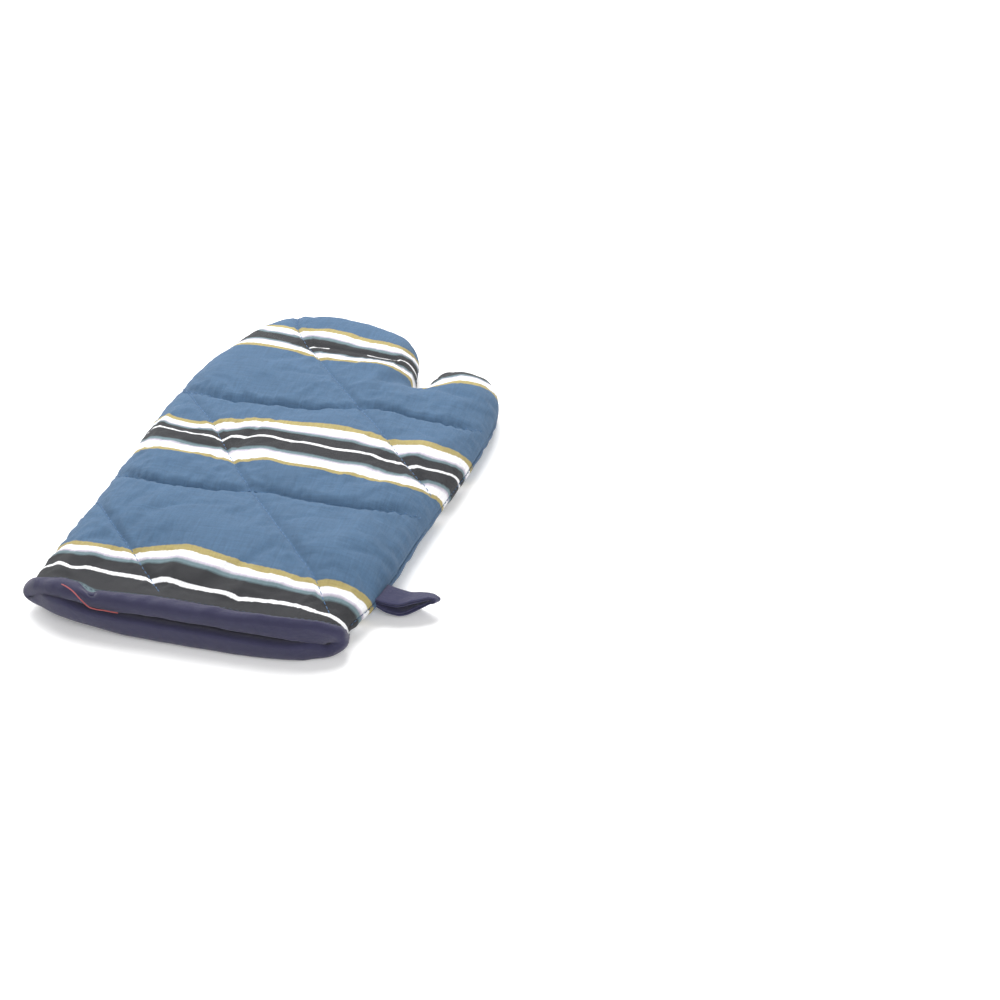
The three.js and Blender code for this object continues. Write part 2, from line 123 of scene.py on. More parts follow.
def even(line, step):
    """The polyline's points again, evenly spaced."""
    s = run_of(line)
    n = max(2, int(round(s[-1] / step)) + 1)
    t = np.linspace(0, s[-1], n)
    return np.stack([np.interp(t, s, line[:, k]) for k in range(line.shape[1])], 1)


def to_line(q, line):
    """Distance from each plan point to a polyline, the nearest point on it, and the length along it there."""
    a, b = line[:-1], line[1:]
    u = b - a
    l2 = np.maximum((u * u).sum(1), 1e-12)
    run = run_of(line)[:-1]
    dist, near, along = np.empty(len(q)), np.empty((len(q), 2)), np.empty(len(q))
    for s in range(0, len(q), 2000):
        c = q[s:s + 2000, None, :] - a[None]
        t = np.clip((c * u[None]).sum(2) / l2, 0, 1)
        e = c - t[..., None] * u[None]
        d2 = (e * e).sum(2)
        k = d2.argmin(1)
        r = np.arange(len(k))
        dist[s:s + 2000] = np.sqrt(d2[r, k])
        near[s:s + 2000] = a[k] + t[r, k][:, None] * u[k]
        along[s:s + 2000] = run[k] + t[r, k] * np.sqrt(l2[k])
    return dist, near, along


def noise(x, y, scale, seed):
    """Smooth value noise from -1 to 1."""
    g = np.random.RandomState(seed).uniform(-1, 1, (64, 64))
    fx, fy = np.asarray(x) / scale + 20.3, np.asarray(y) / scale + 20.7
    ix, iy = np.floor(fx).astype(int), np.floor(fy).astype(int)
    tx, ty = smooth(fx - ix), smooth(fy - iy)
    a, b = g[ix % 64, iy % 64], g[(ix + 1) % 64, iy % 64]
    c, d = g[ix % 64, (iy + 1) % 64], g[(ix + 1) % 64, (iy + 1) % 64]
    return (a + (b - a) * tx) * (1 - ty) + (c + (d - c) * tx) * ty


FINE = catmull([[RIGHT_X, float(cuff_y(RIGHT_X))]] + SIDE + [[LEFT_X, float(cuff_y(LEFT_X))]], 0.25)
EDGE = np.vstack([[[RIGHT_X, -60]], even(FINE, 1.0), [[LEFT_X, -60]]])


# ---- quilting, creases and stripes, front and back -----------------------------------
QUILT = {
    "diagonal_1": [[-34, 296], [-25.8, 268], [4.6, 227.6], [37.7, 189.8], [69.6, 151.4], [85.7, 133], [97, 123], [103, 117]],
    "diagonal_2": [[-80, 205], [-66, 186], [-54.4, 170.4], [-38.3, 152.4], [-29.5, 140], [-10.8, 114.5], [0.3, 101], [15.7, 83.2], [29.1, 67.5], [45.8, 48.5], [61.3, 32], [70.2, 18.8], [77, 8]],
    "diagonal_3": [[-81, 79], [-75, 72], [-61, 54.8], [-36.9, 31], [-22.4, 16.5], [-11, 4]],
    "cross_1": [[-79, 196], [-66, 189], [-50, 183], [-36, 180], [-20.4, 181], [4, 181], [15.9, 182.5], [30, 188], [42.4, 191.5], [56, 190], [71.9, 188], [86, 187], [98.2, 188.5], [104.5, 191.5], [112, 196]],
    "cross_2": [[-81, 104], [-74, 100], [-62, 94], [-50, 90.5], [-34.1, 90.5], [-19, 92], [-6, 94.5], [5, 98], [16, 97.5], [34.7, 94], [50, 92.5], [64, 92.2], [76, 93.8], [86.8, 98.5], [94, 101], [100, 107]],
}
BACK_QUILT = {
    "diagonal_4": [[-80, 130], [-50, 166], [-14, 209], [22, 252], [46, 281]],
    "diagonal_5": [[-64, 8], [-30, 49], [8, 95], [44, 138], [78, 179], [110, 217]],
    "cross_3": [[-81, 196], [-40, 190], [0, 192], [60, 188], [112, 194]],
    "cross_4": [[-81, 100], [-40, 96], [0, 99], [50, 95], [99, 100]],
}
# plan line, depth, half width
CREASES = [
    ([[57.5, 240], [56, 235], [53, 229], [47.8, 222], [40, 216]], 1.7, 2.6),
    ([[62, 226], [64, 219], [68, 211]], 1.2, 2.6),
    ([[75.6, 221], [81.9, 217.5], [88.8, 214.5], [94.7, 214.9], [100, 218.5]], 1.2, 2.4),
    ([[-24, 210.5], [-11, 212], [1, 213.5], [13, 218.5]], 0.7, 3.0),
    ([[-20, 251], [0, 248.5], [20, 246.5], [36, 245.5], [46, 250]], 1.6, 3.2),
    ([[69, 52.3], [77, 54.2], [83, 56], [90, 60.5], [95.5, 70]], 0.9, 2.6),
    ([[86, 99], [92, 101.5], [98, 110]], 1.0, 2.4),
    ([[-66, 60], [-58, 54.5], [-50, 56]], 0.8, 2.8),
    ([[-79, 60], [-74, 56], [-68, 55]], 0.8, 2.4),
    ([[60, 190], [72, 176], [84, 168], [96, 166]], 0.6, 3.4),
    ([[-72, 168], [-62, 171], [-50, 169]], 0.7, 3.0),
    ([[20, 60], [34, 72], [52, 78], [70, 76]], 0.5, 4.0),
    ([[-40, 62], [-22, 72], [0, 76]], 0.5, 4.0),
]
STRIPES = [
    [(-79, -6.5), (-64, -3.5), (-54, -7.2), (-45, -13), (-26, -11.9), (-10.8, -11.5), (5, -12.6), (86, -13)],
    [(-79, 18.4), (-75.3, 19.3), (-65.5, 14.3), (-57.6, 16.6), (-45, 15.2), (-32.2, 15.8), (-21.3, 15.6), (-12.9, 16.6), (-3, 13.9), (9, 13), (17, 11.6), (24.3, 9.8), (29.3, 8.6), (33.8, 9.7), (46.1, 10.6), (55.2, 11.4), (67.2, 9.8), (77.5, 11.2), (86.2, 11)],
    [(-77.5, 35.7), (-69.4, 33.6), (-62, 32.6), (-54.3, 32.7), (-45.5, 33), (-36.1, 34.3), (-31.1, 35.9), (-25.2, 37.8), (-19, 39), (-11.3, 39.3), (-3.3, 38.5), (3.7, 37.1), (10.9, 35.3), (17.9, 33.9), (28.4, 31.8), (36.1, 31.2), (44.3, 32), (53.5, 30), (62.5, 31.5), (72.7, 33), (83.3, 32.3), (90.5, 33.2)],
    [(-75.6, 122), (-66.5, 118), (-58.4, 116.2), (-41.7, 115.7), (-32.7, 116.6), (-19.2, 117.6), (-9.1, 118.7), (-1.5, 120.5), (6.8, 120.2), (15.8, 117.6), (22.9, 117.2), (38, 116.5), (46.6, 114.7), (54.1, 116), (72.3, 115.5), (81.4, 115.2), (89.5, 118.3), (95.5, 120.7), (100.4, 123), (104, 126)],
    [(-78, 144), (-67.8, 141.7), (-60.5, 139.1), (-52.3, 136.9), (-43.8, 136.5), (-37, 137.1), (-27.2, 138.4), (-20.4, 140.7), (-13.4, 141.2), (-3.3, 142.7), (6.5, 141.8), (16.4, 140.3), (27.6, 138.5), (38.5, 136.9), (47.6, 137.6), (65.9, 137.9), (79.5, 138.2), (88.5, 138.6), (93.8, 140.1), (99.8, 143.3), (103.6, 145.9), (107.1, 149.9)],
    [(-74.1, 159.4), (-69.1, 156.9), (-62.4, 153.2), (-55.2, 151), (-43.6, 151.6), (-34.5, 156), (-28.8, 157.3), (-22.1, 158.8), (-11, 161), (-0.9, 160), (9, 159.3), (19.5, 160), (35.9, 160.5), (54.8, 160), (70.3, 159.4), (82.7, 160.5), (91.9, 160.7), (98.4, 162.2), (104.7, 164.8), (108.6, 167.4), (111, 171)],
    [(-70, 240), (-52.7, 237), (-34.1, 235.8), (-13.4, 234.6), (0, 233.9), (15.9, 233.5), (33.4, 233.5), (46.7, 234.2), (54.7, 236.2), (62, 223), (75, 224), (84.9, 226), (92.8, 228), (100.2, 231), (108, 236)],
    [(-62, 254), (-44, 252), (-24.8, 250), (-8.7, 248), (5.1, 246), (15.6, 244.6), (26, 243), (35.2, 242), (41.5, 244.1), (48.1, 250), (55, 254.6), (64, 247), (75, 247), (85, 248), (94, 251), (104, 255)],
    [(-56, 276), (-43.4, 271), (-34.1, 269.3), (-24.4, 267.8), (-6.4, 268.4), (10.9, 266.2), (29.5, 263.8), (38.6, 263.1), (48.4, 266.5), (56, 270), (64, 290), (85, 292), (104, 296)],
]
# each line of STRIPES is at that height in the cloth's own pattern
LEVELS = [-20.5, 0, 20.5, 89.5, 110, 130.5, 199.5, 220, 240.5]
# shares of the way from a group's thin line to its outer line, and the pattern's heights there
SHARES = {
    0: ([0, 0.085, 0.26, 0.34, 0.46, 1], [-20.5, -18.6, -13.8, -12.0, -9.2, 0]),
    1: ([0, 0.485, 0.60, 0.66, 0.83, 1], [0, 9.2, 12.0, 13.8, 18.6, 20.5]),
    3: ([0, 0.09, 0.37, 0.43, 0.53, 1], [89.5, 91.4, 96.2, 98.0, 100.8, 110]),
    4: ([0, 0.37, 0.46, 0.52, 0.79, 1], [110, 119.2, 122.0, 123.8, 128.6, 130.5]),
    6: ([0, 0.17, 0.45, 0.52, 0.62, 1], [199.5, 201.4, 206.2, 208.0, 210.8, 220]),
    7: ([0, 0.36, 0.48, 0.53, 0.78, 1], [220, 229.2, 232.0, 233.8, 238.6, 240.5]),
}


def quilt_run(name):
    """A quilting line's points; the lines across the hand zigzag a little where the cloth is bunched."""
    pts = QUILT.get(name) or BACK_QUILT[name]
    run = even(catmull(pts, 1.0), 1.4)
    if name.startswith("cross"):
        s = run_of(run)
        ends = 1 - smooth((s - 22) / 16) * smooth((s[-1] - 22 - s) / 16)
        run[:, 1] += (0.25 + 0.85 * ends) * np.sin(s * 1.15 + 1.3 * np.sin(s * 0.31)) + 0.4 * noise(s, s * 0, 7.0, 77)
    return run


# ---- plan mesh: strips that follow the seam, then an even net ------------------------
def plan_mesh():
    tangent = np.gradient(FINE, axis=0)
    tangent /= np.maximum(np.linalg.norm(tangent, axis=1, keepdims=True), 1e-9)
    angle = np.unwrap(np.arctan2(tangent[:, 1], tangent[:, 0]))
    picks, run, turn = [0], 0.0, 0.0
    for i in range(1, len(FINE) - 1):
        run += np.linalg.norm(FINE[i] - FINE[i - 1])
        turn += abs(angle[i] - angle[i - 1])
        if run > 1.8 or (turn > 0.17 and run > 0.2):
            picks.append(i)
            run = turn = 0.0
    picks.append(len(FINE) - 1)
    base = FINE[picks]
    inward = np.stack([-tangent[picks, 1], tangent[picks, 0]], 1)
    inward[0], inward[-1] = (-1, 0), (1, 0)
    n, rows = len(base), 12
    depth = ROLL_TOP * (1 - np.cos(0.0775 * np.arange(rows)))
    pts = []
    for d in depth:
        ring = base + inward * d
        ring[0, 1], ring[-1, 1] = cuff_y(ring[0, 0]), cuff_y(ring[-1, 0])
        low = ring[:, 1] < cuff_y(ring[:, 0]) + 0.05
        low[[0, -1]] = False
        ring[low, 1] = cuff_y(ring[low, 0]) + 0.05
        pts.append(ring)
    faces = []
    for j in range(rows - 1):
        for i in range(n - 1):
            a = j * n + i
            faces.append((a, a + 1, a + n + 1, a + n))
    inner = pts[-1]
    left, right = inner[-1, 0], inner[0, 0]
    m = int((right - left) / 1.9)
    xs = np.linspace(left, right, m + 1)[1:-1]
    cuff = np.stack([xs, cuff_y(xs)], 1)
    loop = np.vstack([inner, cuff])
    h = 1.85
    gx, gy = [], []
    for r, y in enumerate(np.arange(-6, 302, h * 0.866)):
        row = np.arange(-90 + (h / 2 if r % 2 else 0), 115, h)
        gx.append(row)
        gy.append(np.full(len(row), y))
    grid = np.stack([np.concatenate(gx), np.concatenate(gy)], 1)
    grid = grid[grid[:, 1] > cuff_y(grid[:, 0]) + 0.9]
    inside = np.zeros(len(grid), bool)
    for (x1, y1), (x2, y2) in zip(loop, np.roll(loop, 1, axis=0)):
        if y1 == y2:
            continue
        hit = ((y1 > grid[:, 1]) != (y2 > grid[:, 1])) & (grid[:, 0] < (x2 - x1) * (grid[:, 1] - y1) / (y2 - y1) + x1)
        inside ^= hit
    grid = grid[inside]
    grid = grid[to_line(grid, inner)[0] > 0.95]
    extra_points = []
    for name in QUILT:
        run = quilt_run(name)
        t = np.gradient(run, axis=0)
        t /= np.linalg.norm(t, axis=1, keepdims=True)
        side = np.stack([-t[:, 1], t[:, 0]], 1)
        ok = (to_line(run, EDGE)[0] > depth[-1] + 2.2) & (run[:, 1] > cuff_y(run[:, 0]) + 3)
        grid = grid[to_line(grid, run)[0] > 1.75]
        for off in (0, 0.75, -0.75):
            extra_points.append((run + side * off)[ok])
    chosen = []
    for group in extra_points:
        for p in group:
            if all((p[0] - q[0]) ** 2 + (p[1] - q[1]) ** 2 > 0.36 for q in chosen[-200:]) and (
                    not chosen or np.min(np.sum((np.array(chosen) - p) ** 2, axis=1)) > 0.36):
                chosen.append(p)
    grid = np.vstack([grid, chosen])
    all2 = np.vstack([loop, grid])
    edges = [(i, (i + 1) % len(loop)) for i in range(len(loop))]
    out = geometry.delaunay_2d_cdt([Vector(p) for p in all2], edges, [], 1, 1e-5)
    source = [o[0] if o else -1 for o in out[3]]
    assert min(source) >= 0 and len(set(source)) == len(source)
    first = (rows - 1) * n
    extra = rows * n

    def index(k):
        k = source[k]
        return first + k if k < n else extra + (k - n)

    xy = np.vstack(pts + [cuff, grid])
    for f in out[2]:
        t = [index(k) for k in f]
        p = xy[t]
        if (p[1, 0] - p[0, 0]) * (p[2, 1] - p[0, 1]) - (p[2, 0] - p[0, 0]) * (p[1, 1] - p[0, 1]) < 0:
            t.reverse()
        faces.append(tuple(t))
    d = np.concatenate([np.repeat(depth, n), to_line(xy[extra:], EDGE)[0]])
    near, along = to_line(xy, EDGE)[1:]
    g = np.zeros_like(xy)
    g[:extra] = np.tile(inward, (rows, 1))
    g[extra:] = (xy[extra:] - near[extra:]) / np.maximum(d[extra:, None], 1e-6)
    pinned = np.zeros(len(xy), bool)
    pinned[:n] = True
    seam = np.concatenate([np.tile(along[:n], rows), along[extra:]])
    return xy, faces, d, g, seam, pinned


XY, FACES, D, G, SEAM, ON_SEAM = plan_mesh()
PX, PY = XY[:, 0], XY[:, 1]
PB = PY - cuff_y(PX)
TOTAL = run_of(EDGE)[-1]

def stripe_height(x, y):
    rows = []
    for line in STRIPES:
        p = even(catmull(line, 3), 2.0)
        o = np.argsort(p[:, 0])
        rows.append(np.interp(x, p[o, 0], p[o, 1]))
    rows = np.array(rows)
    out = np.empty(len(x))
    k = np.clip((rows <= y[None]).sum(0) - 1, 0, len(LEVELS) - 2)
    r = np.arange(len(x))
    lo, hi = rows[k, r], rows[k + 1, r]
    lv = np.array(LEVELS, float)
    share = (y - lo) / np.maximum(hi - lo, 1.0)
    out = lv[k] + (lv[k + 1] - lv[k]) * share
    for i, (a, b) in SHARES.items():
        m = (k == i) & (share >= 0) & (share <= 1)
        out[m] = np.interp(share[m], a, b)
    return out


def pressed(x, y, d, b, runs, creases, front):
    """How deep the cloth is drawn in by the quilting and its creases, and the puckers beside them."""
    q = np.stack([x, y], 1)
    g, pucker = np.zeros(len(x)), np.zeros(len(x))
    for i, (name, pts) in enumerate(runs.items()):
        e, _, s = to_line(q, quilt_run(name))
        cross = name.startswith("cross")
        deep = 1 + 0.18 * noise(s, s * 0, 23, 40 + i)
        if cross:
            g += deep * (3.9 * np.exp(-e / 0.9) + 1.1 * np.exp(-(e / 3.2) ** 2) + 1.4 * np.exp(-(e / 15) ** 2))
        else:
            g += deep * (1.0 * np.exp(-e / 0.95) + 0.8 * np.exp(-(e / 3.2) ** 2) + 1.1 * np.exp(-(e / 12) ** 2))
        size = 0.55 if cross else 0.3
        pucker += size * np.exp(-e / 7.5) * (1 - np.exp(-(e / 1.3) ** 2)) * (
            noise(s + 0.35 * e, e * 0.25 + 3 * i, 6.5, 60 + i) + 0.5 * noise(s - 0.3 * e, e * 0.2, 3.6, 80 + i))
    for i, (pts, deep, wide) in enumerate(creases):
        line = even(catmull(pts, 1.0), 1.5)
        e, _, s = to_line(q, line)
        total = run_of(line)[-1]
        ends = smooth((s + 1) / 9) * smooth((total - s + 1) / 9)
        g += deep * ends * (np.exp(-e / wide) - 0.25 * np.exp(-((e - 3.2 * wide) / (1.6 * wide)) ** 2))
    return g, pucker


def seam_puckers(d, along, seed):
    a = noise(along, d * 0.35, 5.2, seed) + 0.6 * noise(along + 0.5 * d, d * 0.2, 9.5, seed + 1)
    return 0.6 * a * np.exp(-(d / 8.0) ** 2) * (0.35 + 0.65 * smooth(d / 1.4))


def drawn(x, y):
    """Where the outline really lies: fuller at the fingers' outer corner and the thumb's tip, drawn in at the cuff's right."""
    b = y - cuff_y(x)
    full = np.exp(-(((x + 56) / 24) ** 2 + ((y - 277) / 26) ** 2))
    near_cuff = 1 - smooth((b - 8) / 22)
    thumb = np.exp(-(((x - 72) / 9) ** 2 + ((y - 254) / 12) ** 2))
    x2 = (x - 3.4 * smooth((x - 58) / 22) * near_cuff + 0.8 * smooth((-x - 60) / 20) * near_cuff - 3.0 * full
          - 2.6 * np.exp(-(((x - 53) / 12) ** 2 + ((y - 256) / 20) ** 2)) - 3.2 * thumb)
    return x2, y + 1.4 * full + 3.0 * thumb


def base_surface(front):
    """The padded panel's own rounded form, its outward direction, and the wadding's thickness."""
    ye = np.where(PB < BAND, cuff_y(PX) + BAND, PY)
    be = np.maximum(PB, BAND)
    if front:
        low = SEAM_Z + SEAM_GAP / 2
        crown = (CUFF_TOP + (CROWN - CUFF_TOP) * smooth((be - BAND) / 55)
                 - THUMB_DROP * smooth((PX - 55) / 25) * smooth((be - 90) / 60)
                 - 2.5 * smooth((ye - 225) / 60))
        t = np.minimum(D / ROLL_TOP, 1)
        z = low + (crown - low) * rnd(t)
        slope = (crown - low) / ROLL_TOP * (1 - t) / np.maximum(rnd(t), 1e-4)
        up = 1.0
    else:
        low = SEAM_Z - SEAM_GAP / 2
        base = BAND_LIFT * (1 - smooth((be - BAND) / (LIFT_END - BAND)))
        t = np.minimum(D / ROLL_BOTTOM, 1)
        z = base + (low - base) * (1 - rnd(t))
        slope = (low - base) / ROLL_BOTTOM * (1 - t) / np.maximum(rnd(t), 1e-4)
        up = -1.0
    if not front:
        lift = np.interp(PX, [-87, -75, -62, -46, -30, -9, 30], [7.5, 7.2, 6.2, 4.2, 1.8, 0.8, 0]) * (1 - smooth((PB - 2) / 46))
        z = z + lift * (1 - z / low)
    n = np.stack([-G[:, 0] * slope, -G[:, 1] * slope, np.full(len(D), up)], 1)
    flat = PB < BAND + 0.01
    n[flat, 1] = 0
    n /= np.linalg.norm(n, axis=1, keepdims=True)
    edge = ON_SEAM
    n[edge] = np.concatenate([-G[edge], np.zeros((edge.sum(), 1))], 1)
    cuff, full = WAD[front]
    wad = WAD_SEAM + (cuff + (full - cuff) * smooth((PB - BAND) / 30) - WAD_SEAM) * smooth(D / 16)
    x, y = drawn(PX, PY)
    return np.stack([x, y, z], 1), n, wad


def outer_surface(front):
    p, n, wad = base_surface(front)
    g, pucker = pressed(PX, PY, D, PB, QUILT if front else BACK_QUILT, CREASES if front else [], front)
    g = np.minimum(g * (0.3 + 0.7 * smooth(D / 15)), np.maximum(wad - 0.6, 0.3))
    free = smooth((PB - 7) / 13)
    g = g * free
    lumps = 0.8 * noise(PX, PY, 40, 3 if front else 13) + 0.4 * noise(PX, PY, 16, 5 if front else 15)
    out = p + n * ((pucker * smooth(D / 3) + seam_puckers(D, SEAM, 31 if front else 33)) * free)[:, None]
    if front:
        out[:, 2] += -g + lumps * smooth(D / 14) * free
        out[:, 2] -= 1.5 * smooth((PY - 222) / 26) * smooth((PX - 60) / 12) * smooth(D / 8)
    else:
        out[:, 2] += g + np.abs(lumps) * 0.5 * smooth(D / 5) * free
        out[:, 2] = np.maximum(out[:, 2], 0.02)
    if front:
        out[:, 2] += 0.9 * np.exp(-(((PX + 28) / 26) ** 2 + ((PY - 286) / 22) ** 2)) * smooth(D / 10)
    # the seam is drawn in, so the cloth turns under there
    inset = 1.25 * np.exp(-np.abs(out[:, 2] - SEAM_Z) / 1.1) * smooth((PB - 6) / 6)
    out[:, :2] += G * inset[:, None] * (D < 6)[:, None]
    return out, p, n, wad


def relax(points, front, n):
    """Blender's cloth, blown up a little between the sewn lines, with slightly more cloth than wadding."""
    mesh = bpy.data.meshes.new("relax")
    mesh.from_pydata(metres(points).tolist(), [], FACES if front else [tuple(reversed(f)) for f in FACES])
    o = bpy.data.objects.new("relax", mesh)
    bpy.context.scene.collection.objects.link(o)
    q = np.stack([PX, PY], 1)
    near = np.full(len(PX), 1e9)
    for name in (QUILT if front else BACK_QUILT):
        near = np.minimum(near, to_line(q, quilt_run(name))[0])
    hold = np.maximum.reduce([1 - smooth((near - 0.8) / 2.0), 1 - smooth((D - 0.6) / 2.2), 1 - smooth((PB - 9.5) / 3)])
    group = o.vertex_groups.new(name="held")
    for w in (0.25, 0.5, 0.75, 1.0):
        pick = np.where((hold > w - 0.125) & (hold <= w + 0.125 if w < 1 else hold > 0.875))[0]
        group.add(pick.tolist(), w, "REPLACE")
    m = o.modifiers.new("cloth", "CLOTH")
    c = m.settings
    c.quality, c.mass, c.air_damping = 6, 0.12, 3.0
    c.tension_stiffness, c.compression_stiffness, c.shear_stiffness, c.bending_stiffness = 14, 10, 6, 0.12
    c.tension_damping, c.compression_damping, c.shear_damping, c.bending_damping = 8, 8, 6, 0.6
    c.use_pressure, c.uniform_pressure_force = True, 1.4
    c.shrink_min = c.shrink_max = -0.018
    c.effector_weights.gravity = 0
    c.vertex_group_mass, c.pin_stiffness = "held", 30
    m.collision_settings.use_collision = False
    m.collision_settings.use_self_collision = False
    m.point_cache.frame_start, m.point_cache.frame_end = 1, 14
    sc = bpy.context.scene
    for f in range(1, 15):
        sc.frame_set(f)
    ev = o.evaluated_get(bpy.context.evaluated_depsgraph_get())
    co = np.empty(len(ev.data.vertices) * 3, np.float32)
    ev.data.vertices.foreach_get("co", co)
    moved = co.reshape(-1, 3).astype(float) * 1000 + (OX, OY, 0)
    bpy.data.objects.remove(o)
    sc.frame_set(1)
    shift = moved - points
    shift[~np.isfinite(shift)] = 0
    out = (shift * n).sum(1)
    side = shift - n * out[:, None]
    size = np.linalg.norm(side, axis=1, keepdims=True)
    side *= np.minimum(1, 0.8 / np.maximum(size, 1e-9))
    print("cloth moved, mm: out", np.percentile(out, [1, 10, 50, 90, 99]).round(2), "side", np.percentile(size, [50, 90, 99]).round(2))
    out = np.clip(out - 0.4 * np.median(out[hold < 0.05]), -0.5, 1.3)
    return points + n * out[:, None] + side


def vertex_normals(v, flip):
    acc = np.zeros_like(v)
    for size in (3, 4):
        f = np.array([x for x in FACES if len(x) == size])
        if len(f):
            a, b, c = v[f[:, 0]], v[f[:, 1]], v[f[:, -1]]
            k = np.cross(b - a, c - a)
            if size == 4:
                k = k + np.cross(v[f[:, 2]] - b, c - b)
            for j in range(size):
                np.add.at(acc, f[:, j], k)
    acc /= np.maximum(np.linalg.norm(acc, axis=1, keepdims=True), 1e-12)
    return -acc if flip else acc


seen = {}
for f in FACES:
    for a, b in zip(f, f[1:] + f[:1]):
        seen[(a, b)] = True
RIM = [(a, b) for a, b in seen if (b, a) not in seen]


def shell(name, outer, inner, front, attributes):
    """Closed layer of a panel between two surfaces over the same plan mesh."""
    n = len(outer)
    faces = []
    for f in FACES:
        g = tuple(n + k for k in reversed(f))
        faces += [f, g] if front else [tuple(reversed(f)), tuple(n + k for k in f)]
    for a, b in RIM:
        faces.append((b, a, n + a, n + b) if front else (a, b, n + b, n + a))
    mesh = bpy.data.meshes.new(name)
    mesh.from_pydata(metres(np.vstack([outer, inner])).tolist(), [], faces)
    for key, value in attributes.items():
        value = np.asarray(value, np.float32)
        kind, field = ("FLOAT", "value") if value.ndim == 1 else ("FLOAT_VECTOR", "vector")
        mesh.attributes.new(key, kind, "POINT").data.foreach_set(field, np.concatenate([value, value]).ravel())
    mesh.shade_smooth()
    mesh.update()
    o = bpy.data.objects.new(name, mesh)
    bpy.context.scene.collection.objects.link(o)
    return o


def make_object(name, verts, faces, attributes=None, flat=False):
    mesh = bpy.data.meshes.new(name)
    mesh.from_pydata(np.asarray(verts, float).tolist(), [], faces)
    for key, value in (attributes or {}).items():
        value = np.asarray(value, np.float32)
        kind, field = ("FLOAT", "value") if value.ndim == 1 else ("FLOAT_VECTOR", "vector")
        mesh.attributes.new(key, kind, "POINT").data.foreach_set(field, value.ravel())
    if not flat:
        mesh.shade_smooth()
    mesh.update()
    o = bpy.data.objects.new(name, mesh)
    bpy.context.scene.collection.objects.link(o)
    return o


# ---- materials -----------------------------------------------------------------------
def srgb(r, g, b):
    c = np.array([r, g, b], float) / 255
    c = np.where(c <= 0.04045, c / 12.92, ((c + 0.055) / 1.055) ** 2.4)
    return (*c.tolist(), 1.0)


class Nodes:
    def __init__(self, name):
        self.m = bpy.data.materials.new(name)
        self.m.use_nodes = True
        self.t = self.m.node_tree
        self.b = self.t.nodes["Principled BSDF"]

    def new(self, kind, **props):
        n = self.t.nodes.new(kind)
        for k, v in props.items():
            setattr(n, k, v)
        return n

    def put(self, socket, value):
        if hasattr(value, "is_output") or isinstance(value, bpy.types.NodeSocket):
            self.t.links.new(value, socket)
        else:
            socket.default_value = value

    def math(self, op, a, b=0.0, c=0.0, clamp=False):
        n = self.new("ShaderNodeMath", operation=op, use_clamp=clamp)
        self.put(n.inputs[0], a)
        self.put(n.inputs[1], b)
        self.put(n.inputs[2], c)
        return n.outputs[0]

    def noise(self, vector, scale, detail=2.0, rough=0.5):
        n = self.new("ShaderNodeTexNoise")
        self.put(n.inputs["Vector"], vector)
        n.inputs["Scale"].default_value = scale
        n.inputs["Detail"].default_value = detail
        n.inputs["Roughness"].default_value = rough
        return n.outputs["Fac"]

    def scaled(self, vector, x, y, z):
        n = self.new("ShaderNodeVectorMath", operation="MULTIPLY")
        self.put(n.inputs[0], vector)
        n.inputs[1].default_value = (x, y, z)
        return n.outputs[0]

    def mix(self, fac, a, b, kind="MIX"):
        n = self.new("ShaderNodeMix", data_type="RGBA", blend_type=kind)
        self.put(n.inputs["Factor"], fac)
        self.put(n.inputs["A"], a)
        self.put(n.inputs["B"], b)
        return n.outputs["Result"]

    def ramp(self, fac, stops):
        n = self.new("ShaderNodeValToRGB")
        r = n.color_ramp
        while len(r.elements) < len(stops):
            r.elements.new(0.5)
        for e, (p, c) in zip(r.elements, stops):
            e.position, e.color = p, c
        self.put(n.inputs[0], fac)
        return n.outputs["Color"]

    def attribute(self, name):
        n = self.new("ShaderNodeAttribute", attribute_name=name)
        return n

    def bump(self, height, strength, distance, normal=None):
        n = self.new("ShaderNodeBump")
        n.inputs["Strength"].default_value = strength
        n.inputs["Distance"].default_value = distance
        self.put(n.inputs["Height"], height)
        if normal is not None:
            self.put(n.inputs["Normal"], normal)
        return n.outputs["Normal"]


def tucked(x, y):
    """1 where the thin line of the group nearest the fingertips is swallowed by a fold, or turned away at the thumb."""
    return np.clip(smooth((-11 - x) / 3) + smooth((x - 0) / 3) * smooth((27 - x) / 3) + (x > 59), 0, 1) * (y > 200)


def weave(k, flat, pitch):
    """Plain weave over flat cloth coordinates in millimetres: height, warp on top, and each yarn's own shade."""
    sep = k.new("ShaderNodeSeparateXYZ")
    k.put(sep.inputs[0], flat)
    wob = k.math("MULTIPLY", k.math("SUBTRACT", k.noise(k.scaled(flat, 0.25, 0.25, 0.25), 1.0, 1.0), 0.5), 0.5)
    u = k.math("DIVIDE", k.math("ADD", sep.outputs[0], wob), pitch)
    v = k.math("DIVIDE", k.math("ADD", sep.outputs[1], wob), pitch)
    su = k.math("SINE", k.math("MULTIPLY", u, math.pi))
    sv = k.math("SINE", k.math("MULTIPLY", v, math.pi))
    over = k.math("MULTIPLY", su, sv)
    ru = k.math("ABSOLUTE", su)
    rv = k.math("ABSOLUTE", sv)
    height = k.math("ADD", k.math("MULTIPLY", k.math("ADD", ru, rv), 0.35), k.math("MULTIPLY", k.math("ABSOLUTE", over), 0.5))
    top = k.math("GREATER_THAN", over, 0.0)
    warp = k.noise(k.scaled(flat, 1.0 / pitch, 0.035, 1.0), 1.0, 1.0)
    weft = k.noise(k.scaled(flat, 0.035, 1.0 / pitch, 1.0), 1.0, 1.0)
    shade = k.math("ADD", k.math("MULTIPLY", warp, top), k.math("MULTIPLY", weft, k.math("SUBTRACT", 1.0, top)))
    return height, top, shade


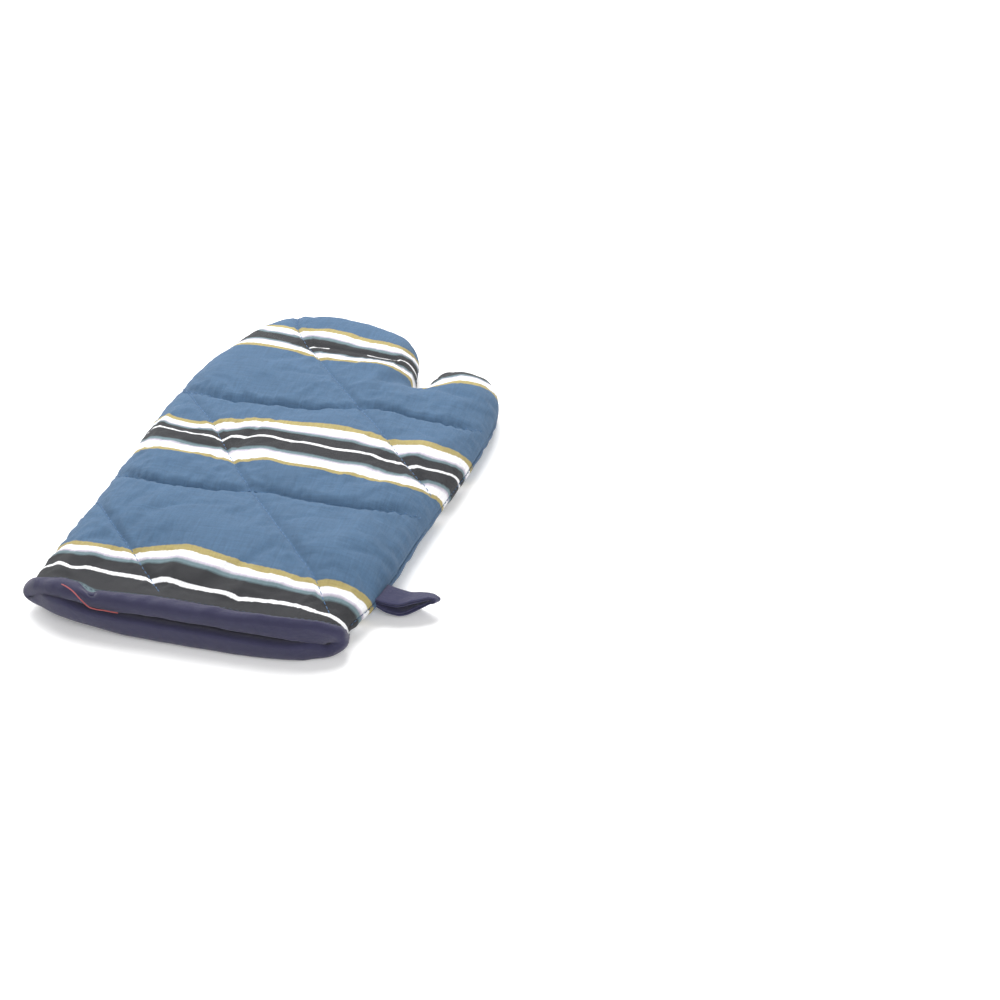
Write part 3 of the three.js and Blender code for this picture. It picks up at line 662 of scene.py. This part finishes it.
def striped_cloth():
    k = Nodes("striped_cotton")
    flat = k.attribute("flat").outputs["Vector"]
    band = k.attribute("band").outputs["Fac"]
    height, top, shade = weave(k, flat, 0.42)
    soft = k.math("MULTIPLY", k.math("SUBTRACT", k.noise(k.scaled(flat, 0.6, 0.6, 0.6), 1.0, 3.0, 0.6), 0.5), 0.8)
    g = k.math("ADD", band, soft)
    g = k.math("SUBTRACT", k.math("FLOORED_MODULO", k.math("ADD", g, 55.0 + 1100.0), 110.0), 55.0)
    g = k.math("DIVIDE", k.math("ABSOLUTE", g), 25.0)
    # where the cloth is tucked in, a fold swallows the thin line
    g = k.math("MAXIMUM", g, k.math("MULTIPLY", k.attribute("tuck").outputs["Fac"], 0.1))
    blue, must, white = srgb(*BLUE), srgb(*MUSTARD), srgb(*WHITE)
    lilac, teal, char = srgb(*LILAC), srgb(*TEAL), srgb(*CHARCOAL)
    cuts = [(1.0, white, char), (9.2, char, teal), (12.0, teal, lilac), (13.8, lilac, white), (18.6, white, must), (20.7, must, blue)]
    stops = [(0.0, white)]
    for at, a, b in cuts:
        blur = 0.75 if b in (teal, lilac) or a == lilac else 0.16
        stops += [((at - blur) / 25, a), ((at + blur) / 25, b)]
    colour = k.ramp(g, stops)
    # every yarn is a little lighter or darker, with slubs along it and worn, faded patches
    grain = k.math("ADD", 0.74, k.math("MULTIPLY", shade, 0.52))
    patch = k.math("ADD", 0.92, k.math("MULTIPLY", k.noise(k.scaled(flat, 0.03, 0.03, 0.03), 1.0, 4.0, 0.6), 0.16))
    slub = k.math("ADD", k.noise(k.scaled(flat, 0.08, 0.8, 1.0), 1.0, 2.0), k.noise(k.scaled(flat, 0.8, 0.08, 1.0), 1.0, 2.0))
    slub = k.math("ADD", 0.68, k.math("MULTIPLY", slub, 0.32))
    mottle = k.noise(k.scaled(flat, 0.9, 0.9, 0.9), 1.0, 3.0, 0.75)
    slub = k.math("MULTIPLY", slub, k.math("ADD", 0.86, k.math("MULTIPLY", mottle, 0.28)))
    value = k.math("MULTIPLY", k.math("MULTIPLY", grain, patch), slub)
    tint = k.new("ShaderNodeCombineColor")
    for i in range(3):
        k.put(tint.inputs[i], value)
    colour = k.mix(1.0, colour, tint.outputs[0], "MULTIPLY")
    # a few pale warp yarns show through the darker stripes
    show = k.math("MULTIPLY", top, 0.07)
    colour = k.mix(show, colour, srgb(190, 198, 210))
    k.put(k.b.inputs["Base Color"], colour)
    rough = k.math("ADD", 0.84, k.math("MULTIPLY", shade, 0.14))
    k.put(k.b.inputs["Roughness"], rough)
    k.b.inputs["Specular IOR Level"].default_value = 0.25
    k.b.inputs["Sheen Weight"].default_value = 0.06
    k.b.inputs["Sheen Roughness"].default_value = 0.5
    n = k.bump(height, 0.75, 0.00016)
    fuzz = k.noise(k.scaled(flat, 3.0, 3.0, 3.0), 1.0, 3.0, 0.7)
    n = k.bump(fuzz, 0.3, 0.00020, n)
    crumple = k.noise(k.scaled(flat, 0.22, 0.22, 0.22), 1.0, 3.0, 0.6)
    n = k.bump(crumple, 0.35, 0.0009, n)
    k.put(k.b.inputs["Normal"], n)
    return k.m


def tape_cloth(name, colour, pitch=0.34):
    k = Nodes(name)
    flat = k.attribute("flat").outputs["Vector"]
    height, top, shade = weave(k, flat, pitch)
    patch = k.noise(k.scaled(flat, 0.07, 0.07, 0.07), 1.0, 4.0, 0.6)
    value = k.math("MULTIPLY", k.math("ADD", 0.78, k.math("MULTIPLY", shade, 0.44)), k.math("ADD", 0.88, k.math("MULTIPLY", patch, 0.24)))
    tint = k.new("ShaderNodeCombineColor")
    for i in range(3):
        k.put(tint.inputs[i], value)
    c = k.mix(1.0, srgb(*colour), tint.outputs[0], "MULTIPLY")
    lint = k.noise(k.scaled(flat, 1.3, 1.3, 1.3), 1.0, 2.0, 0.8)
    speck = k.math("MULTIPLY", k.math("GREATER_THAN", lint, 0.74), 0.35)
    c = k.mix(speck, c, srgb(150, 148, 170))
    k.put(k.b.inputs["Base Color"], c)
    k.put(k.b.inputs["Roughness"], k.math("ADD", 0.72, k.math("MULTIPLY", shade, 0.2)))
    k.b.inputs["Specular IOR Level"].default_value = 0.3
    k.b.inputs["Sheen Weight"].default_value = 0.25
    k.b.inputs["Sheen Roughness"].default_value = 0.45
    n = k.bump(height, 0.7, 0.00014)
    n = k.bump(k.noise(k.scaled(flat, 0.3, 0.3, 0.3), 1.0, 3.0, 0.6), 0.4, 0.0007, n)
    k.put(k.b.inputs["Normal"], n)
    return k.m


def thread_cotton(name, colour):
    """Plied sewing thread: a slanted twist along attribute 'ply' (length, angle)."""
    k = Nodes(name)
    ply = k.attribute("ply").outputs["Vector"]
    sep = k.new("ShaderNodeSeparateXYZ")
    k.put(sep.inputs[0], ply)
    twist = k.math("SINE", k.math("ADD", k.math("MULTIPLY", sep.outputs[0], 9.0), k.math("MULTIPLY", sep.outputs[1], 2.0)))
    fluff = k.noise(k.scaled(ply, 2.5, 1.2, 1.0), 1.0, 3.0, 0.7)
    value = k.math("ADD", k.math("ADD", 0.74, k.math("MULTIPLY", twist, 0.10)), k.math("MULTIPLY", fluff, 0.34))
    tint = k.new("ShaderNodeCombineColor")
    for i in range(3):
        k.put(tint.inputs[i], value)
    k.put(k.b.inputs["Base Color"], k.mix(1.0, srgb(*colour), tint.outputs[0], "MULTIPLY"))
    k.put(k.b.inputs["Roughness"], k.math("ADD", 0.55, k.math("MULTIPLY", fluff, 0.3)))
    k.b.inputs["Sheen Weight"].default_value = 0.2
    n = k.bump(twist, 0.8, 0.00012)
    k.put(k.b.inputs["Normal"], k.bump(fluff, 0.4, 0.0001, n))
    return k.m


def fibre(name, colour, scale, depth):
    k = Nodes(name)
    flat = k.attribute("flat").outputs["Vector"]
    a = k.noise(k.scaled(flat, scale, scale * 0.3, scale), 1.0, 5.0, 0.7)
    b = k.noise(k.scaled(flat, scale * 0.3, scale, scale), 1.0, 5.0, 0.7)
    h = k.math("ADD", a, b)
    value = k.math("ADD", 0.7, k.math("MULTIPLY", h, 0.3))
    tint = k.new("ShaderNodeCombineColor")
    for i in range(3):
        k.put(tint.inputs[i], value)
    k.put(k.b.inputs["Base Color"], k.mix(1.0, srgb(*colour), tint.outputs[0], "MULTIPLY"))
    k.b.inputs["Roughness"].default_value = 0.95
    k.b.inputs["Sheen Weight"].default_value = 0.3
    k.put(k.b.inputs["Normal"], k.bump(h, 0.8, depth))
    return k.m


BLUE, MUSTARD, WHITE = (69, 99, 129), (166, 151, 94), (240, 240, 242)
LILAC, TEAL, CHARCOAL = (194, 186, 200), (104, 126, 132), (36, 35, 36)
NAVY = (49, 48, 76)
NAVY_LOOP = (50, 50, 80)
THREAD_BLUE = (68, 113, 162)

# ---- camera, then the loose thread ----------------------------------------------------
scene = bpy.context.scene
cam_data = bpy.data.cameras.new("camera")
cam_data.lens, cam_data.sensor_width = 64.8, 36.0
cam_data.clip_start, cam_data.clip_end = 0.05, 20
cam = bpy.data.objects.new("camera", cam_data)
scene.collection.objects.link(cam)
cam.location = Vector((0.29947, -0.80277, 0.58217))
cam.rotation_mode = "QUATERNION"
cam.rotation_quaternion = (Vector((0.11236, 0.00732, 0)) - cam.location).to_track_quat("-Z", "Y")
scene.camera = cam

line = even(catmull(TAIL, 0.4), 0.5)
along = np.gradient(line, axis=0)
along /= np.linalg.norm(along, axis=1, keepdims=True)
side = np.cross(along, (0.0, 0.0, 1.0))
side /= np.linalg.norm(side, axis=1, keepdims=True)
over = np.cross(side, along)
tverts, tply, tfaces, R = [], [], [], 12
for i, c in enumerate(line):
    for j in range(R):
        th = 2 * math.pi * j / R
        r = 0.285 + 0.018 * math.cos(3 * th + i * 0.55)
        tverts.append(c + side[i] * (r * math.cos(th)) + over[i] * (r * math.sin(th)))
        tply.append([i * 0.5, th, 0])
for i in range(len(line) - 1):
    for j in range(R):
        q = i * R + j, i * R + (j + 1) % R
        tfaces.append((q[0], q[0] + R, q[1] + R, q[1]))
tfaces.append(tuple(range(R)))
tfaces.append(tuple((len(line) - 1) * R + j for j in reversed(range(R))))
tail = make_object("loose_thread", metres(tverts), tfaces, {"ply": tply})
tail.data.materials.append(thread_cotton("red_thread", (186, 84, 86)))
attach(tail, "mitt")
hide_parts("loose_thread_tail")

# ---- panels ----------------------------------------------------------------------------
# cloth coordinates: the plan, let out towards the seam by what the rounded edge takes up
arc = np.linspace(0, math.pi / 2, 200)
quarter = np.stack([ROLL_TOP * (1 - np.cos(arc)), 20.0 * np.sin(arc)], 1)
length = run_of(quarter)
let_out = (length[-1] - np.interp(np.minimum(D, ROLL_TOP), quarter[:, 0], length)) - (ROLL_TOP - np.minimum(D, ROLL_TOP))
FLAT = np.stack([PX - G[:, 0] * let_out, PY - G[:, 1] * let_out, np.zeros(len(PX))], 1)
BAND_FRONT = stripe_height(PX, PY)
BAND_BACK = stripe_height(PX, PY - 1.2)

cloth_material = striped_cloth()
wadding_material = fibre("cotton_wadding", (232, 228, 218), 1.6, 0.0005)
# the lining's near-black colour is partly painted shade: it stands in for the shade inside the cuff's mouth, where the
# lining shows
shade_dark_lining_material = fibre("lining_cotton_painted_dark", (44, 44, 56), 2.4, 0.0002)
panels = {}
for front in (True, False):
    side = "front" if front else "back"
    outer, base, n, wad = outer_surface(front)
    outer = relax(outer, front, n)
    outer[:, 2] = np.maximum(outer[:, 2], 0.02)
    nv = vertex_normals(outer, not front)
    nv[ON_SEAM] = n[ON_SEAM]
    attributes = {"flat": FLAT, "band": BAND_FRONT if front else BAND_BACK, "tuck": tucked(PX, PY) if front else PX * 0.0}
    inner = outer - nv * 0.92
    face = shell(f"{side}_face_cloth", outer, inner, front, attributes)
    face.data.materials.append(cloth_material)
    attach(face, "mitt")
    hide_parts(f"outer_{side}")
    panels[front] = (outer, base, n, wad)

    w0 = outer - nv * 1.25
    w1 = base - n * (1.3 + wad)[:, None]
    wadding = shell(f"{side}_wadding", w0, w1, front, {"flat": FLAT})
    wadding.data.materials.append(wadding_material)
    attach(wadding, "mitt")
    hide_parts(f"wadding_{side}")

    l0 = base - n * (1.6 + wad)[:, None]
    l1 = base - n * (2.4 + wad)[:, None]
    lining = shell(f"{side}_lining", l0, l1, front, {"flat": FLAT})
    lining.data.materials.append(shade_dark_lining_material)
    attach(lining, "mitt")
    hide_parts(f"lining_{side}")

# ---- cuff binding ------------------------------------------------------------------------
def ring_stations(step=1.7):
    """Points round the cuff at its line: place, outward direction, wadding thickness and run."""
    out = []
    rim = (PB < 1e-6) | (np.abs(PB) < 1e-6)
    for front in (True, False):
        _, base, n, wad = panels[front]
        pick = np.where(rim & (D > 0.01))[0]
        pick = pick[np.argsort(PX[pick])]
        if not front:
            pick = pick[::-1]
        keep, last = [], None
        for i in pick:
            p = base[i]
            if last is None or np.linalg.norm(p - last) > step * 0.8:
                keep.append(i)
                last = p
        rows = [(base[i], n[i], wad[i], front) for i in keep]
        out += rows
        x = RIGHT_X if front else LEFT_X
        out.append((np.array([x - 3.4 if front else x + 0.8, float(cuff_y(x)), SEAM_Z]), np.array([np.sign(x), 0, 0]), WAD_SEAM, front))
    return out


STATIONS = ring_stations()
ring = np.array([s[0] for s in STATIONS])
ring_run = run_of(np.vstack([ring, ring[:1]]))


def section(T, nose, top):
    k = top / 9.0
    return np.array([
        [0.28, 9.0 * k], [1.0, 8.85 * k], [1.5, 8.1 * k], [1.75, 6.9 * k], [1.9, 5.4 * k], [1.95, 3.8 * k], [1.95, 2.2 * k], [1.75, 0.7 * k], [1.25, -0.8],
        [0.4, -1.9 - nose * 0.6], [-0.9, -2.6 - nose * 0.9], [-T / 2, -2.9 - nose], [-T + 0.2, -2.8 - nose], [-T - 1.0, -2.3 - nose * 0.95], [-T - 1.6, -1.2 - nose * 0.5],
        [-T - 1.2, 0.4], [-T - 0.8, 2.2], [-T - 0.75, 4.2], [-T - 0.75, 6.4], [-T - 0.75, 7.6], [-T - 0.6, 8.1], [-T - 0.3, 8.1],
        [-T - 0.3, 6.0], [-T - 0.3, 3.0], [-T - 0.3, -0.5], [-T / 2, -0.75], [0.3, -0.5], [0.28, 3.0 * k], [0.28, 6.0 * k],
    ])


# along the cuff: how far the tape reaches over the cloth, and the heights of its two lips' facing edges
TAPE_EDGE = ([-87, -74.6, -63.8, -54.6, -50.5, -45.4, -42.3, -26.4, -10.8, 10.9, 32.5, 53.8, 69.7, 78, 87],
             [5.5, 5.2, 7.3, 6.2, 3.6, 2.3, 3.6, 4.8, 5.8, 5.2, 3.8, 2.6, 2.4, 3.4, 5.0])
UPPER_LIP = ([-82, -75.5, -62.9, -54.8, -46.7, -30, -8.7, 12.4, 33.5, 53.9, 68.6, 78, 84], [15.6, 18.2, 20.0, 18.3, 16.4, 15.9, 16.4, 15.6, 15.2, 13.4, 11.0, 6.6, 7.5])
LOWER_LIP = ([-82, -74, -62, -46, -29, -8, 13, 34, 54.5, 69, 78.7, 84], [15.2, 17.2, 17.6, 14.5, 14.2, 13.5, 13.1, 12.1, 11.3, 10.8, 7.8, 8.2])
# short folds pressed into the tape: from, to, depth, half width
FOLDS = [
    ((-51.0, -0.6, 24.8), (-45.4, -4.0, 23.6), 2.2, 1.7), ((-45.4, -4.0, 23.6), (-40.0, -7.0, 20.0), 1.6, 1.5),
    ((62.0, -5.6, 14.4), (71.2, -4.2, 17.4), 2.8, 1.5), ((66.7, -4.6, 11.4), (79.0, -2.0, 6.6), 2.0, 1.4),
    ((-86, 0.5, 15.0), (-70, -4.4, 18.8), 1.6, 1.3), ((-73, -2.4, 22.6), (-64, -5.2, 22.8), 1.0, 1.6),
    ((20, -7.6, 18.0), (34, -6.8, 20.8), 0.8, 1.6), ((-24, -7.6, 18.6), (-10, -6.8, 20.6), 0.7, 1.6),
]


def folded(q):
    """How far the tape's surface is pressed in at q."""
    out = 0.0
    for a, b, deep, wide in FOLDS:
        a, b = np.array(a), np.array(b)
        t = min(max(float((q - a) @ (b - a) / ((b - a) @ (b - a))), 0.0), 1.0)
        out += deep * math.exp(-(np.linalg.norm(q - a - (b - a) * t) / wide) ** 2)
    return out


bverts, bflat, bfaces = [], [], []
M = len(section(5.0, 0.0, 9.0))
for i, (p, n, w, front) in enumerate(STATIONS):
    T = 2.4 + w
    goal = float(np.interp(p[0], *(UPPER_LIP if front else LOWER_LIP)))
    if abs(n[2]) > 0.3:
        T = min(max(abs(p[2] - goal) / abs(n[2]) - (0.9 if front else 1.0), 4.1), 14.5)
    else:
        T = T + 3.0
    shut = float(smooth(np.array([(p[0] - 56) / 16 if p[0] > 0 else (-p[0] - 66) / 14]))[0])
    sec = section(T, -0.5 if front else 2.0 * (1 - shut), float(np.interp(p[0], *TAPE_EDGE)) if front else 7.0)
    s = ring_run[i]
    seclen = np.concatenate([[0], np.cumsum(np.linalg.norm(np.diff(sec, axis=0), axis=1))])
    for j, (a, b) in enumerate(sec):
        if j <= 19:
            a2 = a + 0.0
            round_part = math.exp(-((b - 2.5) / 5.5) ** 2)
            ripple = 0.55 * noise(np.array([s + 0.8 * seclen[j]]), np.array([seclen[j] * 0.35]), 6.0, 90)[0] \
                + 0.22 * noise(np.array([s - 0.5 * seclen[j]]), np.array([seclen[j] * 0.3]), 3.2, 91)[0]
            sign = 1 if a > -T / 2 else -1
            amount = ripple * round_part * (1.0 if j < 15 else 0.4)
            if front and -66 < p[0] < -28 and 6 < j < 14:
                amount = min(amount * 0.25, 0.0)
            if shut > 0.3:
                amount *= 1.6
            a2 = a + sign * amount
            b2 = b + (0.25 * noise(np.array([s]), np.array([0.0]), 14, 92)[0] if j < 3 else 0) * (1 if j < 3 else 0) - 0.25 * amount
        else:
            a2, b2 = a, b
        q = p + n * a2
        if j <= 19:
            q = q - n * (folded(np.array([q[0], q[1] + b2, q[2]])) * (1 if a > -T / 2 else -0.6))
        z = q[2]
        bverts.append([q[0], q[1] + b2, z])
        bflat.append([s, seclen[j] * 1.0, 0])
bverts = np.array(bverts)
bverts[:, 2] = np.maximum(bverts[:, 2], 0.0)
N = len(STATIONS)
for i in range(N):
    for j in range(M):
        a, b, c, d = i * M + j, i * M + (j + 1) % M, ((i + 1) % N) * M + (j + 1) % M, ((i + 1) % N) * M + j
        bfaces.append((a, b, c, d))
binding = make_object("cuff_binding_tape", metres(bverts), bfaces, {"flat": bflat})
binding.data.materials.append(tape_cloth("navy_binding_tape", NAVY))
sub = binding.modifiers.new("smooth", "SUBSURF")
sub.levels = sub.render_levels = 1
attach(binding, "mitt")
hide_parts("cuff_binding")

# ---- stitches ----------------------------------------------------------------------------
def dashes(name, runs, radius, material, node, squash_z=0.75, long=2.6, gap=0.9, arch=0.35):
    """Separate stitches of thread, each a low arch that dives into the cloth at both ends."""
    verts, faces, ply = [], [], []
    for run, normals in runs:
        s = run_of(run)
        t = 0.6
        while t + long < s[-1]:
            ts = np.linspace(t, t + long, 7)
            c = np.stack([np.interp(ts, s, run[:, i]) for i in range(3)], 1)
            nn = np.stack([np.interp(ts, s, normals[:, i]) for i in range(3)], 1)
            nn /= np.maximum(np.linalg.norm(nn, axis=1, keepdims=True), 1e-9)
            u = np.linspace(-1, 1, 7)
            c = c + nn * (arch * (1 - np.abs(u) ** 2.5) - 0.3 * np.abs(u) ** 6)[:, None]
            tg = np.gradient(c, axis=0)
            tg /= np.maximum(np.linalg.norm(tg, axis=1, keepdims=True), 1e-9)
            sd = np.cross(tg, nn)
            first = len(verts)
            for k in range(7):
                r = radius * (0.55 if k in (0, 6) else 1.0)
                for h in range(8):
                    th = h * math.pi / 4
                    q = c[k] + sd[k] * (r * math.cos(th)) + nn[k] * (r * squash_z * math.sin(th))
                    verts.append(q)
                    ply.append([ts[k], th, 0])
            for k in range(6):
                for h in range(8):
                    a, b = first + k * 8 + h, first + k * 8 + (h + 1) % 8
                    faces.append((a, b, b + 8, a + 8))
            faces.append(tuple(first + h for h in reversed(range(8))))
            faces.append(tuple(first + 48 + h for h in range(8)))
            t += long + gap
    verts = np.array(verts)
    verts[:, 2] = np.maximum(verts[:, 2], 0.05)
    o = make_object(name, metres(verts), faces, {"ply": ply})
    o.data.materials.append(material)
    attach(o, "mitt")
    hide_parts(*([node] if isinstance(node, str) else node))
    return o


from mathutils.bvhtree import BVHTree

TREES = {}
for front in (True, False):
    TREES[front] = BVHTree.FromPolygons([tuple(v) for v in panels[front][0]], [f if front else tuple(reversed(f)) for f in FACES])


def on_cloth(points, front=True, lift=0.0):
    out, nor = [], []
    for x, y in points:
        hit = TREES[front].ray_cast(Vector((x, y, 60 if front else -20)), Vector((0, 0, -1 if front else 1)))
        if hit[0] is None:
            continue
        out.append(np.array(hit[0]) + np.array(hit[1]) * lift)
        nor.append(np.array(hit[1]))
    return np.array(out), np.array(nor)


blue_thread = thread_cotton("quilting_thread", THREAD_BLUE)
seam_thread = thread_cotton("seam_thread", (70, 104, 142))
for name, pts in QUILT.items():
    run = quilt_run(name)
    d = to_line(run, EDGE)[0]
    run = run[(d > 2.5) & (run[:, 1] - cuff_y(run[:, 0]) > BAND + 1.5)]
    p, n = on_cloth(run)
    dashes(f"quilt_stitches_{name}", [(p, n)], 0.24, blue_thread, f"quilt_thread_{name}")
back_runs = []
for name, pts in BACK_QUILT.items():
    run = quilt_run(name)
    d = to_line(run, EDGE)[0]
    run = run[(d > 3) & (run[:, 1] - cuff_y(run[:, 0]) > BAND + 3)]
    back_runs.append(on_cloth(run, False))
dashes("back_quilt_stitches", back_runs, 0.24, blue_thread, [])

# the side seam's thread lies in its crease
walk = even(FINE, 1.2)
tangent = np.gradient(walk, axis=0)
tangent /= np.linalg.norm(tangent, axis=1, keepdims=True)
outward = np.stack([tangent[:, 1], -tangent[:, 0], np.zeros(len(walk))], 1)
above = walk[:, 1] > cuff_y(walk[:, 0]) + BAND + 2
middle = np.column_stack([*drawn(walk[:, 0], walk[:, 1]), np.full(len(walk), SEAM_Z)]) - outward * 1.0
dashes("side_seam_stitches", [(middle[above], outward[above])], 0.26, seam_thread, "side_seam_thread", long=2.2, gap=0.7, arch=0.25)

# stitches along the binding's upper edge, all the way round the cuff
loop_p = np.array([s[0] + s[1] * 0.55 for s in STATIONS])
loop_p[:, 1] += [np.interp(s[0][0], *TAPE_EDGE) + 0.5 if s[3] else 7.5 for s in STATIONS]
loop_n = np.array([s[1] for s in STATIONS])
loop_p, loop_n = np.vstack([loop_p, loop_p[:1]]), np.vstack([loop_n, loop_n[:1]])
dashes("binding_stitches", [(loop_p, loop_n)], 0.24, thread_cotton("binding_stitching", (48, 62, 84)), "binding_thread", long=2.4, gap=1.0, arch=0.25)

# ---- hanging loop --------------------------------------------------------------------------
# centreline of the folded tape in the loop's own plane: outward, up
upper = catmull([[-4.4, 1.3], [-1, 1.4], [3, 0.7], [7, -0.1], [11, -0.5], [15, -0.2], [18.5, 0.2], [21.3, 0.3], [23.0, 0.0]], 0.6)
turn = catmull([[23.0, 0.0], [24.1, -0.4], [24.2, -1.4], [23.2, -2.2]], 0.25)
lower = catmull([[23.2, -2.2], [20.6, -3.1], [17.2, -4.8], [13.5, -6.5], [9.5, -7.1], [5.5, -6.5], [2.0, -5.2], [-1, -3.4], [-4.4, -1.4]], 0.6)
# its two edges across, along the upper and the lower run, and how the near edge curls up
UPPER_NEAR = ([-4.4, 0, 3.4, 8, 13.5, 18, 21, 24], [-9.8, -10.0, -9.2, -7.8, -4.2, -0.8, 1.8, 3.4])
UPPER_FAR = ([-4.4, 0, 3.5, 8.7, 13.4, 18.7, 21.4, 24], [4.6, 4.4, 4.7, 5.7, 7.5, 8.5, 8.8, 8.4])
LOWER_NEAR = ([-4.4, 0, 5, 8, 12, 15, 18, 21, 24], [-9.2, -8.6, -6.9, -5.8, -3.4, -0.8, 1.2, 2.9, 3.4])
LOWER_FAR = ([-4.4, 5, 12, 18, 24], [4.8, 6.4, 8.0, 8.5, 8.4])
CURL = ([0, 8, 13.5, 18, 21, 24], [0, 0.6, 2.0, 1.9, 1.7, 1.3])
path = np.vstack([upper[:-1], turn[:-1], lower])
s = run_of(path)
tan = np.gradient(path, axis=0) / np.maximum(np.gradient(s)[:, None], 1e-9)
tan /= np.linalg.norm(tan, axis=1, keepdims=True)
up = np.stack([-tan[:, 1], tan[:, 0]], 1)      # outside of the loop, on the upper run


def tape_section(near, far, thick):
    """The tape is folded over on itself: two rounded layers with a groove along each edge."""
    h = thick / 2
    return np.array([
        (near + 0.8, h), (near + 0.25, h - 0.15), (near, h * 0.6), (near + 0.2, h * 0.25), (near + 2.2, 0.0), (near + 0.2, -h * 0.25),
        (near, -h * 0.6), (near + 0.3, -h + 0.15), (near + 0.8, -h), (near * 0.7 + far * 0.3, -h), (near * 0.3 + far * 0.7, -h),
        (far - 0.75, -h), (far - 0.3, -h + 0.12), (far, -h * 0.6), (far - 0.2, -h * 0.2), (far - 1.1, 0.0), (far - 0.2, h * 0.2),
        (far, h * 0.6), (far - 0.3, h - 0.12), (far - 0.75, h), (near * 0.3 + far * 0.7, h), (near * 0.7 + far * 0.3, h)])


ca, sa = math.cos(LOOP_ANGLE), math.sin(LOOP_ANGLE)
lverts, lflat, lfaces = [], [], []
for i, (c, t, n2) in enumerate(zip(path, tan, up)):
    u = c[0]
    first = i < len(upper) + len(turn) // 2
    near = float(np.interp(u, *(UPPER_NEAR if first else LOWER_NEAR)))
    far = float(np.interp(u, *(UPPER_FAR if first else LOWER_FAR)))
    thick = float(np.interp(s[i] / s[-1], [0, 0.3, 0.46, 0.54, 0.7, 1], [2.1, 2.5, 1.9, 1.9, 2.9, 2.3]))
    sec = tape_section(near, far, thick)
    L = len(sec)
    for y, h in sec:
        share = (far - y) / (far - near)
        uu = c[0] + n2[0] * h - 1.2 * share * smooth(np.array([(u - 18) / 6]))[0]
        zz = c[1] + n2[1] * h + share * float(np.interp(u, *CURL)) * (1.0 if first else 0.8)
        zz += 0.22 * noise(np.array([s[i]]), np.array([y]), 6.0, 120)[0] * smooth(np.array([u / 5]))[0]
        lverts.append([LOOP_PIVOT[0] + uu * ca - y * sa, LOOP_PIVOT[1] + uu * sa + y * ca, max(LOOP_PIVOT[2] + zz, 0.3)])
        lflat.append([s[i], y + (20 if h < 0 else 0), 0])
L = 22
for i in range(len(path) - 1):
    for j in range(L):
        a, b = i * L + j, i * L + (j + 1) % L
        lfaces.append((a, b, b + L, a + L))
lfaces.append(tuple(reversed(range(L))))
lfaces.append(tuple((len(path) - 1) * L + j for j in range(L)))
loop = make_object("hanging_loop_tape", metres(lverts), lfaces, {"flat": lflat})
loop.data.materials.append(tape_cloth("navy_loop_tape", NAVY_LOOP))
import bmesh
bm = bmesh.new()
bm.from_mesh(loop.data)
bmesh.ops.recalc_face_normals(bm, faces=bm.faces)
bm.to_mesh(loop.data)
bm.free()
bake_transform(loop)
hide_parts("hanging_loop")

# ---- floor and light -------------------------------------------------------------------------
floor_mesh = bpy.data.meshes.new("floor")
floor_mesh.from_pydata([(-6, -6, 0), (6, -6, 0), (6, 9, 0), (-6, 9, 0)], [], [(0, 1, 2, 3)])
floor = bpy.data.objects.new("floor", floor_mesh)
scene.collection.objects.link(floor)
k = Nodes("floor_paper")
k.put(k.b.inputs["Base Color"], k.mix(k.noise(k.new("ShaderNodeTexCoord").outputs["Object"], 3.0, 2.0), srgb(250, 250, 250), srgb(254, 254, 254)))
k.b.inputs["Roughness"].default_value = 0.9
k.b.inputs["Specular IOR Level"].default_value = 0.1
k.b.inputs["Emission Color"].default_value = (1, 1, 1, 1)
k.b.inputs["Emission Strength"].default_value = 0.1
floor.data.materials.append(k.m)


def area(name, where, aim, size, power, colour=(1, 1, 1)):
    d = bpy.data.lights.new(name, "AREA")
    d.shape, d.size, d.size_y, d.energy, d.color = "RECTANGLE", size[0], size[1], power, colour
    o = bpy.data.objects.new(name, d)
    scene.collection.objects.link(o)
    o.location = Vector(where)
    o.rotation_mode = "QUATERNION"
    o.rotation_quaternion = (Vector(aim) - Vector(where)).to_track_quat("-Z", "Y")
    return o


area("soft_top", (-0.35, 0.75, 1.45), (0.0, 0.0, 0.0), (1.3, 0.95), 38)
area("soft_back", (-1.0, 1.4, 0.8), (0.0, 0.05, 0.0), (1.1, 0.8), 12)
area("soft_front", (0.9, -1.3, 1.2), (0.0, 0.0, 0.0), (1.3, 1.0), 17)
world = bpy.data.worlds.new("studio")
scene.world = world
world.use_nodes = True
world.node_tree.nodes["Background"].inputs["Color"].default_value = (1, 1, 1, 1)
world.node_tree.nodes["Background"].inputs["Strength"].default_value = 0.40
scene.view_settings.view_transform = "Standard"
scene.view_settings.look = "None"
